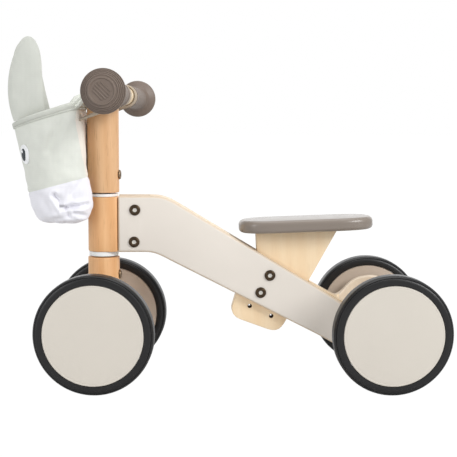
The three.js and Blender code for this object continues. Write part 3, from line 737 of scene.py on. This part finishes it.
def plate_stations():
    """Where the plate is cut across: the outline's own points, then closely through the bend."""
    xs = {round(x, 2) for x, _ in TOP_LINE[:-1] + BOTTOM_LINE[:11]}
    for across in (-PLATE_HALF, 0, PLATE_HALF):
        for k in range(13):
            swing = math.sin(FLARE_ANGLE * k / 12)
            xs.add(round(FLARE_START + (BEND - across) * swing, 2))
            xs.add(round(FLARE_END - (BEND + across) * swing, 2))
    return sorted(xs)


def plate_outline():
    """Upper points from front to rear and the lower points that pair with them."""
    upper_arc = arc((WHEELBASE, WHEEL_RADIUS), LEG_END, 134, 2, 26)
    lower_arc = arc((WHEELBASE, WHEEL_RADIUS), LEG_END, -117.4, -2, 26)
    arc_line = [(x, z) for x, z in upper_arc if x <= 330]
    upper, lower = [], []
    for x in plate_stations():
        if x > FLARE_END + 0.01:
            continue
        upper.append((x, between(TOP_LINE + arc_line, x)))
        lower.append((x, between(BOTTOM_LINE, x)))
    upper += [point for point in upper_arc if point[0] > FLARE_END + 1]
    missing = len(upper) - len(lower)
    tail = [point for point in lower_arc if point[0] > FLARE_END + 8]
    tail = [tail[round(i * (len(tail) - 1) / (missing - 1))] for i in range(missing)]
    return upper, lower + tail


def side_plate():
    """A plywood plate, painted outside and bare inside and at its edges, spread in an S at its rear."""
    upper, lower = plate_outline()
    count = len(upper)
    outline = lower + upper[::-1]
    bm = bmesh.new()
    layer = bm.verts.layers.float.new("across")
    rings = []
    for edge, across in rounding(-PLATE_HALF, PLATE_HALF, 3, 3, 4):
        ring = []
        for x, z in inset(outline, edge):
            vert = bm.verts.new((x, bend_y(x, across), z))
            vert[layer] = across
            ring.append(vert)
        rings.append(ring)
    for level, (a, b) in enumerate(zip(rings, rings[1:])):
        for face in skin(bm, a, b):
            face.material_index = 1 if level < len(rings) - 2 else 0
    for ring, look in ((rings[0], 1), (rings[-1], 0)):
        for i in range(count - 1):
            face = bm.faces.new((ring[i], ring[i + 1], ring[-2 - i], ring[-1 - i]))
            face.material_index = look
    return bm


def head_block():
    front = arc((0, 0), 18.6, 90, 270, 40)
    lower = arc((14.5, -15.6), 3, -90, 0, 5)
    upper = arc((14.5, 15.6), 3, 0, 90, 5)
    return slab(front + lower + upper, HEAD_LOW, HEAD_HIGH, 0.9, 0.9)


def seat_underside(x):
    return SEAT_LOW + SEAT_RISE * (x - SEAT_LOW_AT)


def seat_block():
    corners = [(284.4, seat_underside(284.4) - GAP, 0), (184.6, seat_underside(184.6) - GAP, 0)]
    outline = [corners[0][:2], corners[1][:2]]
    outline += rounded([(184.6, 181, 0), (186, 157, 6), (160, 104, 10), (156.5, 92, 0)], 4)[1:]
    outline += bezier((156.5, 92), (153.5, 84), (158, 77), (166, 74), 6)[1:]
    outline += bezier((200, 61.5), (212, 57.5), (216.5, 62.5), (221.9, 72), 6)
    return side_slab(outline, CORE_HALF, 0.9)


def paint_shade_in_holes(piece, places):
    """Gives the walls and floors of the cross-drilled holes the second material, a dark wood that paints the
    shade inside them.
    """
    centres = [FRAME_SPACE @ Vector((x, 0, z)) for x, z in places]
    reach, floor = 0.0046, 0.003
    for face in piece.data.polygons:
        inside = any(math.hypot(face.center.x - c.x, face.center.z - c.z) < reach for c in centres)
        if inside and (abs(face.normal.y) < 0.3 or abs(face.center.y) < floor):
            face.material_index = 1


def seat_plan():
    a, b = (SEAT_REAR - SEAT_FRONT) / 2, SEAT_HALF
    rear = bezier((a * 0.42, b), (a * 0.78, b), (a, b * 0.72), (a, 0), 14)[::-1] + [(0, b)]
    half = rear + [(-x, y) for x, y in reversed(rear[:-1])]
    return half + [(x, -y) for x, y in reversed(half[1:-1])]


CORE_OPEN = math.radians(58)  # how far the core follows the plates' spread
CORE_PROUD = 1.6


def core_plan():
    """The wedge between the spreading plates, with its hollow rear end."""
    radius = BEND + PLATE_HALF + GAP
    side = [(215, CORE_HALF)]
    for k in range(17):
        swing = CORE_OPEN * k / 16
        side.append((FLARE_START + radius * math.sin(swing), PLATE_MIDDLE + BEND - radius * math.cos(swing)))
    x, y = side[-1]
    end = bezier((x, y), (x - 9.3, y / 3), (x - 9.3, -y / 3), (x, -y), 16)[1:-1]
    return [(x, -y) for x, y in side] + end[::-1] + side[::-1]


def add_rear_core():
    top = [(x, z + CORE_PROUD) for x, z in TOP_LINE if x > 252]
    side = [(223.9, 74.9), (308, 31.9), (308, 106), *reversed(top), (250.2, 121.4)]
    core = as_object("rear_core_piece", slab(core_plan(), 20, 190, 0.2, 0.2), FRAME_SPACE)
    carve(core, [side_slab(side, 80, 0.2)], FRAME_SPACE, "INTERSECT")
    soften = core.modifiers.new("soften", "BEVEL")
    soften.width = 0.0008
    soften.segments = 2
    soften.limit_method = "ANGLE"
    soften.angle_limit = math.radians(40)
    bake_modifiers(core)
    finish_piece(core, "frame", [CORE_PLY], ["rear_core"])


def add_side_plates():
    for name, flip in (("right", Matrix()), ("left", MIRROR)):
        plate = as_object(f"side_plate_{name}_piece", side_plate(), FRAME_SPACE @ flip)
        for look in (CREAM_PAINT, PLY_EDGE):
            plate.data.materials.append(look)
        holes = cross_holes([*HEAD_BOLTS, *SEAT_BOLTS], NUT_BORE, 0, 90)
        holes += cross_holes([(WHEELBASE, WHEEL_RADIUS)], AXLE_BORE, 0, 90)
        carve(plate, holes, FRAME_SPACE @ flip)
        finish_piece(plate, "frame", [], [f"side_plate_{name}"], 30)


def add_head_block():
    head = as_object("head_block_piece", head_block(), FRAME_SPACE)
    tongue = [(0, -CORE_HALF), (56, -CORE_HALF), (56, CORE_HALF), (0, CORE_HALF)]
    carve(head, [slab(tongue, HEAD_LOW + 1, HEAD_HIGH - 1, 0.4, 0.4)], FRAME_SPACE, "UNION")
    foot, top = 157, 226  # past both ends of the block
    carve(head, [rod(HEAD_BORE, foot, top, "Z"), rod(BUSH_BORE, foot, 177.7, "Z"),
                 rod(BUSH_BORE, 205.3, top, "Z"), *cross_holes(HEAD_BOLTS, NUT_BORE)], FRAME_SPACE)
    finish_piece(head, "frame", [BEECH_HEAD], ["head_block"])


def add_seat_block():
    block = as_object("seat_block_piece", seat_block(), FRAME_SPACE)
    tools = cross_holes(SEAT_BOLTS, NUT_BORE)
    for hole in SPARE_HOLES:
        tools += cross_holes([hole], 1.2)
        tools += cross_holes([hole], 2.7, -30, -2) + cross_holes([hole], 2.7, 2, 30)
    carve(block, tools, FRAME_SPACE)
    paint_shade_in_holes(block, [*SEAT_BOLTS, *SPARE_HOLES])
    finish_piece(block, "frame", [BIRCH, HOLE_SHADE], ["seat_block"])


def add_seat_board():
    middle = (SEAT_FRONT + SEAT_REAR) / 2
    tilt = at(middle, 0, seat_underside(middle)) @ Matrix.Rotation(-math.atan(SEAT_RISE), 4, "Y")
    board = slab(seat_plan(), 0, SEAT_THICK, 4.5, 5.5, 6)
    add_for("seat_board", board, FRAME_SPACE @ tilt, "frame", [SEAT_PAINT])


# ------------ bag: a soft animal head
SECTIONS = [  # front, back, half width, bulge beside the stem, z at the front, z at the back
    (-72, -24, 34, 5, 195, 196),
    (-81, -20.2, 41, 8, 201, 201),
    (-86.5, -19.8, 44, 12, 214, 221),
    (-92, -19.8, 46.5, 5.5, 240, 256),
    (-99, -19.8, 48, 3, 275, 292),
    (-103.8, -20.8, 47.6, 0, 295.6, 317),
    (-107, -28.5, 47, 0, 310.5, 336),
]
WALL = 1.6
FRONT_SHARE = 0.62
AROUND = 240
RIM = 6  # level of the rim among the sections
RIM_STEP = 36  # height of one more level above it
LAST_STEP = 17  # height of the last level below it
SEAM_FRONT, SEAM_BACK = (-86.8, 229.6), (-14, 249.1)  # where the muzzle meets the face, seen from the side
HEM = 8.5
STEM_ZONE = -24, 24  # the cloth keeps off the stem behind this x and within this half width
BASE_CENTRE, BASE_TOP = Vector((-47, 0, 195.5)), 200
EAR_BASE = 322


def section_at(level):
    """A section part way up the bag, smoothly between the ones given."""
    k = min(int(level), len(SECTIONS) - 2)
    t = level - k
    rows = [SECTIONS[max(min(k + d, len(SECTIONS) - 1), 0)] for d in (-1, 0, 1, 2)]
    weights = (
        -0.5 * t ** 3 + t ** 2 - 0.5 * t, 1.5 * t ** 3 - 2.5 * t ** 2 + 1,
        -1.5 * t ** 3 + 2 * t ** 2 + 0.5 * t, 0.5 * t ** 3 - 0.5 * t ** 2,
    )
    return [sum(w * row[c] for w, row in zip(weights, rows)) for c in range(6)]


def smooth(value, low, high):
    t = max(0.0, min(1.0, (value - low) / (high - low)))
    return t * t * (3 - 2 * t)


def tidy_point(level, angle):
    """A point of the bag's tidy shape: a D in plan, flat towards the stem and round in front."""
    front, back, half, wrap, z_front, z_back = section_at(min(level, RIM))
    centre = back + (front - back) * (1 - FRONT_SHARE)
    c, s = math.cos(angle), math.sin(angle)
    power = 1 if c < 0 else 0.42
    reach = centre - front if c < 0 else back - centre
    x = centre + reach * math.copysign(abs(c) ** power, c)
    y = half * math.copysign(abs(s) ** power, s)
    share = (x - front) / (back - front)
    bulge = max(0.0, (x - centre) / reach) * wrap * smooth(abs(y), 20, 30)
    lift = max(level - RIM, 0) * RIM_STEP
    return Vector((x + bulge, y, z_front + (z_back - z_front) * share + lift))


def cloth_point(level, angle, out=0.0):
    """A point of the slack cloth, and `out` beyond it: every sewn piece is laid on this surface."""
    here = tidy_point(level, angle)
    along = tidy_point(level, angle + 0.02) - tidy_point(level, angle - 0.02)
    upward = tidy_point(min(level + 0.04, RIM), angle) - tidy_point(min(level, RIM - 0.04) - 0.04, angle)
    normal = along.cross(upward).normalized()
    shift = slack(here, normal)
    if here.x > STEM_ZONE[0] and abs(here.y) < STEM_ZONE[1]:
        shift = min(shift, 0)
    return here + normal * (shift + out)


def seam_height(x):
    (xa, za), (xb, zb) = SEAM_FRONT, SEAM_BACK
    return za + (zb - za) * (x - xa) / (xb - xa)


# Creases of the slack cloth on the left side: start and end in (x, z), depth and width.
CREASES = [
    ((-42.6, 316), (-54.5, 281), 2.8, 5),
    ((-88, 300), (-60, 312), 1.6, 6),
    ((-51, 228), (-35.4, 205), 4.6, 2.6),
    ((-38.6, 213.5), (-14, 217), 5.0, 2.4),
    ((-33, 209), (-16, 204), 2.4, 2.4),
    ((-30, 203), (-52, 199), 2.2, 3),
    ((-20, 243), (-31, 228), 2.0, 3),
    ((-66, 224), (-58, 210), 1.4, 4),
    ((-80, 262), (-66, 246), 0.8, 7),
    ((-66, 316), (-70, 296), 0.8, 5),
    ((-24, 290), (-34, 262), 0.9, 5),
]


def crease_depth(x, z, side):
    depth = 0.0
    for k, (start, end, deep, width) in enumerate(CREASES):
        drift = 0 if side < 0 else 3.5 * math.sin(2.1 * k + 1)
        a, b = Vector((start[0], start[1] + drift)), Vector((end[0], end[1] - drift))
        line = b - a
        share = max(0, min(1, (Vector((x, z)) - a).dot(line) / line.length_squared))
        away = (Vector((x, z)) - a - line * share).length
        swell = math.exp(-((away - 1.9 * width) / width) ** 2)
        depth += deep * (math.exp(-((away / width) ** 2)) - 0.45 * swell)
    return depth


def slack(point, normal):
    """How far the cloth lies from its tidy shape: creases, sag, the pinched seam and small waves."""
    near_rim = smooth(point.z - (310 + (point.x + 107) / 3), -34, -6)
    soft = noise.noise(point * 0.035) * 1.8 + noise.noise(point * 0.09 + Vector((7, 3, 1))) * 0.6
    soft += smooth(252 - point.z, 0, 45) * noise.noise(point * 0.075 + Vector((2, 9, 4))) * 2.0
    fold = crease_depth(point.x, point.z, point.y) * abs(normal.y)
    pinch = 1.1 * math.exp(-(((point.z - seam_height(point.x)) / 1.7) ** 2))
    return (soft - fold) * (1 - 0.75 * near_rim) - pinch


def back_panel(point):
    """Whether a point of the sage cloth is behind the seam of the linen back panel."""
    return point.x > -25.6 + max(0.0, 315.8 - point.z) * 0.165


def angles():
    return [2 * math.pi * (i + 0.5) / AROUND for i in range(AROUND)]


def bag_body():
    """The side walls and the gathered base: sage above the muzzle seam and white below it."""
    rings = []
    for share, drop in ((0.02, -1.6), (0.2, -2.0), (0.45, -2.2), (0.7, -1.9), (0.88, -1.1)):
        rings.append([BASE_CENTRE.lerp(cloth_point(0, a), share) + Vector((0, 0, drop)) for a in angles()])
    rings += [[cloth_point(k / 18, a) for a in angles()] for k in range(RIM * 18 + 1)]
    bm = stacked(rings, capped=False)
    hole = [e for e in bm.edges if e.is_boundary and e.verts[0].co.z < BASE_TOP]
    bmesh.ops.holes_fill(bm, edges=hole, sides=0)
    (xa, za), (xb, zb) = SEAM_FRONT, SEAM_BACK
    across = Vector((-(zb - za), 0, xb - xa)).normalized()
    whole = bm.verts[:] + bm.edges[:] + bm.faces[:]
    bmesh.ops.bisect_plane(bm, geom=whole, plane_co=(xa, 0, za), plane_no=across, dist=0.01)
    bmesh.ops.recalc_face_normals(bm, faces=bm.faces)
    for face in bm.faces:
        centre = face.calc_center_median()
        above = centre.z > seam_height(centre.x)
        face.material_index = (2 if back_panel(centre) else 0) if above else 1
    return bm


def two_sided(piece, thickness):
    """Gives a sheet its real thickness, inwards."""
    wall = piece.modifiers.new("wall", "SOLIDIFY")
    wall.thickness = thickness * 0.001
    wall.offset = -1
    wall.use_even_offset = False
    bake_modifiers(piece)


def hem():
    """A turned-over band round the rim, with its stitching pressed in."""
    depth = HEM / LAST_STEP
    section = [(-depth, 0.1), (-depth + 0.02, 1.3), (-depth + 0.09, 1.5), (-depth + 0.13, 0.5),
               (-depth + 0.17, 1.5), (-0.12, 1.6), (0, 1.3), (0.025, 0.8), (0.035, -0.2), (0.02, -1.2),
               (0, -1.8), (-0.12, -2.0), (-depth, -1.9)]
    rings = [[cloth_point(RIM + level, a, out) for a in angles()] for level, out in section]
    return stacked(rings + rings[:1], capped=False)


def leaf():
    """The ear's outline about x = 0, from its front foot round its tip to its rear foot."""
    outline = bezier((-15.5, 314), (-25, 338), (-24.5, 371), (-11.5, 398), 14)
    outline += bezier((-11.5, 398), (-5, 413.6), (5.5, 418.6), (13, 404), 10)[1:]
    outline += bezier((13, 404), (20.5, 390), (17, 360), (20.5, 326), 12)[1:]
    return outline


def stuffed_ear():
    """Two leaves of cloth sewn round their edge and lightly stuffed."""
    outline = leaf()[::-1]
    rings = []
    shares = [k / 7 for k in range(8)]
    middle = Vector((-1, 362))
    for side in (-1, 1):
        for share in shares[::-side]:
            ring = []
            for x, z in outline:
                point = middle + (Vector((x, z)) - middle) * (0.02 + 0.98 * share)
                spine = Vector((x * 0.1, point.y))
                point = point.lerp(spine, 0.35 * (1 - share))
                edge = math.sqrt(max(0.0, 1 - share ** 2.2))
                puff = 0.55 + 3.1 * edge
                ripple = 0.45 * noise.noise(Vector((point.x * 0.09, side * 4, point.y * 0.07)))
                ring.append(Vector((point.x, side * (puff + ripple), point.y)))
            rings.append(ring)
    return stacked(rings)


def add_ear(name, x, y, lean):
    bend = at(0, 0, EAR_BASE) @ Matrix.Rotation(-lean, 4, "Y") @ at(0, 0, -EAR_BASE)
    ear = as_object(f"ear_{name}_piece", stuffed_ear(), FORK_SPACE @ at(x, y, 0) @ bend)
    # the ears take the darker sage copy, which is painted shade
    finish_piece(ear, "fork", [SAGE_EAR_SHADED], [f"ear_{name}"], 60)


EYE_ANGLE, EYE_LEVEL = math.radians(38), Vector((-48, 0, 275.5))
FELT_EDGE = [(0.02, 1.0), (0.35, 1.0), (0.65, 1.0), (0.88, 0.95), (0.97, 0.75), (1.0, 0.4), (1.0, 0.0),
             (0.9, -0.6), (0.02, -0.6)]  # share of the oval's size, share of its thickness


def on_bag(tree, side, sideways, up, lift):
    """A point on the bag's front, seen from inside along the eye's direction."""
    ahead = Vector((-math.cos(EYE_ANGLE), side * math.sin(EYE_ANGLE), 0))
    aside = Vector((math.sin(EYE_ANGLE), side * math.cos(EYE_ANGLE), 0))
    start = EYE_LEVEL + aside * sideways + Vector((0, 0, up))
    hit, normal, _, _ = tree.ray_cast(start, ahead)
    if normal.dot(ahead) < 0:
        normal = -normal
    return hit + normal * lift


def felt_oval(tree, side, centre, size, base, thickness):
    """A felt oval lying on the bag with a soft cut edge."""
    rings = []
    for share, lift in FELT_EDGE:
        ring = []
        for i in range(40):
            angle = 2 * math.pi * i / 40
            sideways = centre[0] + size[0] / 2 * share * math.cos(angle)
            up = centre[1] + size[1] / 2 * share * math.sin(angle)
            ring.append(on_bag(tree, side, sideways, up, base + thickness * lift))
        rings.append(ring)
    return stacked(rings)


def add_eye(name, side, tree):
    for part, look, replaced, *shape in (
        ("patch", FELT_WHITE, [f"eye_{name}"], (0, 0), (18, 23), 0.25, 1.2),
        ("pupil", FELT_DARK, (), (-0.6, -0.4), (8.6, 14.5), 1.3, 0.7),
        ("glint", FELT_WHITE, (), (-2.0, 3.2), (2.4, 3.4), 1.9, 0.4),
    ):
        oval = felt_oval(tree, side, *shape)
        add(f"eye_{name}_{part}", oval, FORK_SPACE, "fork", [look], replaced, 60)


STRAP_HALF, STRAP_THICK, STRAP_OFFSET = 8.2, 2.2, 28.4


def strap_path():
    """Round the handlebar and down both ways to the bag's back edge, in X and Z."""
    upper = [(-24.8, 339.4), (-8, 346.5), (8, 352.2)]
    round_bar = arc((BAR_X, BAR_Z), 12.6, 108, -70, 22)
    lower = [(12, 329.6), (-3, 324.2), (-22.5, 316.4)]
    leans = [0] * (len(upper) + len(round_bar)) + [2.4, 2.2, 1.0]  # drop of the outer edge
    return upper + round_bar + lower, leans


def ribbon(path, half_width, thickness, leans):
    """A band of webbing along a line in X and Z, with cords along it, closed at both ends."""
    cords = 7
    span = [(-1 + 2 * k / (4 * cords), 0.55 + 0.45 * math.cos(math.pi * (k / 2 - 1)))
            for k in range(4 * cords + 1)]
    section = [(across, out) for across, out in span] + [(across, -out) for across, out in reversed(span)]
    rings = []
    for i, point in enumerate(path):
        here = Vector(point)
        before = Vector(path[max(i - 1, 0)])
        after = Vector(path[min(i + 1, len(path) - 1)])
        along = (after - before).normalized()
        normal = Vector((-along.y, along.x))
        ring = []
        for across, out in section:
            spot = here + normal * out * thickness / 2
            ring.append((spot.x, across * half_width, spot.y - across * leans[i]))
        rings.append(ring)
    return stacked(rings)


def add_strap(name, side):
    path, leans = strap_path()
    space = FORK_SPACE @ at(0, side * STRAP_OFFSET, 0) @ (Matrix() if side > 0 else MIRROR)
    band = ribbon(path, STRAP_HALF, STRAP_THICK, leans)
    add_for(f"bag_strap_{name}", band, space, "fork", [WEBBING], 40)


def corner_tab():
    """The rim's back corner gathered into a pleated tab round the strap's upper end."""
    rings = []
    spine = [(-35, 326.5, 7.5, 3.0), (-31, 332, 9.2, 5.4), (-25, 337.5, 9.4, 6.2), (-19, 342.5, 8.6, 4.0),
             (-13.5, 345, 8.2, 3.4), (-11.5, 345.8, 7.6, 2.6)]
    for x, z, wide, high in spine:
        ring = []
        for a in [2 * math.pi * k / 48 for k in range(48)]:
            pleat = 1 + 0.2 * math.cos(7 * a + 0.08 * x) + 0.09 * math.sin(4 * a + 0.3 * x)
            lift = high * math.sin(a) * pleat
            ring.append((x - 0.5 * lift, wide * math.cos(a) * pleat, z + 0.85 * lift))
        rings.append(ring)
    return stacked(rings)


def add_bag():
    bm = bag_body()
    tree = BVHTree.FromBMesh(bm)
    body = as_object("bag_body_piece", bm, FORK_SPACE)
    for look in (SAGE, MUZZLE, LINING):
        body.data.materials.append(look)
    two_sided(body, WALL)
    finish_piece(body, "fork", [], ["bag"], 60)
    # the hem takes the darker sage copy, which is painted shade
    add("bag_hem_piece", hem(), FORK_SPACE, "fork", [SAGE_HEM_SHADED], crease=60)
    add_ear("left", -84.5, -31, 0)
    add_ear("right", -89, 28, 0.17)
    for name, side in (("left", -1), ("right", 1)):
        add_eye(name, side, tree)
        add_strap(name, side)
        corner = FORK_SPACE @ at(0, side * 29, 0)
        add(f"corner_tab_{name}", corner_tab(), corner, "fork", [SAGE], crease=60)


# ------------ nodes that stay as the CAD has them
def dress_cad_nodes():
    kept = {"front_core": CORE_PLY, "seat_dowel_1": BEECH, "seat_dowel_2": BEECH}
    steel = ["steering_rod", "front_axle", "rear_axle"]
    steel += [f"{end}_{side}_axle_nut" for end in ("front", "rear") for side in ("left", "right")]
    kept.update({node: STEEL for node in steel})
    for node, look in kept.items():
        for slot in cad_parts[node].material_slots:
            slot.material = look


# ------------ studio
CAMERA_AT = Vector((91.1, -1232.6, 310.2))
CAMERA_TURN = (0.0490, 0.1011, 0.0040)  # heading, tilt down and roll, in radians
LIT_POINT = Vector((0, 0, 0.18))


def look_matrix(yaw, pitch, roll):
    """Camera axes from its heading, its tilt down and its roll."""
    ahead = Vector((math.sin(yaw) * math.cos(pitch), math.cos(yaw) * math.cos(pitch), -math.sin(pitch)))
    level = Vector((math.cos(yaw), -math.sin(yaw), 0))
    up = level.cross(ahead)
    right = level * math.cos(roll) + up * math.sin(roll)
    over = -level * math.sin(roll) + up * math.cos(roll)
    return Matrix((right, over, -ahead)).transposed().to_4x4()


def add_camera():
    data = bpy.data.cameras.new("camera")
    data.lens = 80
    data.sensor_width = 36
    data.clip_start = 0.02
    camera = linked("camera", data)
    camera.matrix_world = Matrix.Translation(FRAME_SPACE @ CAMERA_AT) @ look_matrix(*CAMERA_TURN)
    bpy.context.scene.camera = camera


def add_softbox(name, place, size, power):
    data = bpy.data.lights.new(name, "AREA")
    data.shape = "RECTANGLE"
    data.size, data.size_y = size
    data.energy = power
    lamp = linked(name, data)
    lamp.location = place
    lamp.rotation_euler = (LIT_POINT - Vector(place)).to_track_quat("-Z", "Y").to_euler()


def camera_share(tree, plain, seen, share, surface):
    """Shows `share` of one shader over another, to the camera only."""
    path = tree.nodes.new("ShaderNodeLightPath")
    amount = tree.nodes.new("ShaderNodeMath")
    amount.operation = "MULTIPLY"
    amount.inputs[1].default_value = share
    tree.links.new(path.outputs["Is Camera Ray"], amount.inputs[0])
    mix = tree.nodes.new("ShaderNodeMixShader")
    for node, socket in ((amount, 0), (plain, 1), (seen, 2)):
        tree.links.new(node.outputs[0], mix.inputs[socket])
    tree.links.new(mix.outputs[0], surface)


def add_world():
    """Even soft light; the backdrop itself is plain white."""
    world = bpy.data.worlds.new("studio")
    bpy.context.scene.world = world
    world.use_nodes = True
    nodes = world.node_tree.nodes
    light = nodes["Background"]
    set_inputs(light, Color=(0.97, 0.985, 1, 1), Strength=0.6)
    backdrop = nodes.new("ShaderNodeBackground")
    set_inputs(backdrop, Color=(1, 1, 1, 1))
    camera_share(world.node_tree, light, backdrop, 1, nodes["World Output"].inputs["Surface"])


def add_floor():
    bm = bmesh.new()
    bmesh.ops.create_grid(bm, x_segments=1, y_segments=1, size=30)
    floor = as_object("floor", bm, Matrix())
    look = bpy.data.materials.new("white_floor")
    look.use_nodes = True
    nodes = look.node_tree.nodes
    shader = nodes["Principled BSDF"]
    set_inputs(shader, Base_Color=(0.65, 0.65, 0.65, 1), Roughness=0.9)
    white = nodes.new("ShaderNodeEmission")
    set_inputs(white, Strength=1.05)
    camera_share(look.node_tree, shader, white, 0.95, nodes["Material Output"].inputs["Surface"])
    floor.data.materials.append(look)


def add_studio():
    add_camera()
    add_world()
    add_floor()
    add_softbox("key", (2.9, -2.6, 2.3), (1.9, 2.0), 120)
    add_softbox("top", (0.1, 0.2, 2.0), (1.8, 1.4), 14)
    add_softbox("fill", (-1.7, -1.5, 0.9), (0.4, 1.4), 11)
    add_softbox("horizon", (0, 2.2, 0.7), (4, 1.3), 12)
    bpy.context.scene.view_settings.view_transform = "Standard"


add_wheels()
add_posts()
add_bolts()
add_handlebar()
add_small_turnings()
add_side_plates()
add_head_block()
add_seat_block()
add_rear_core()
add_seat_board()
add_bag()
dress_cad_nodes()
add_studio()
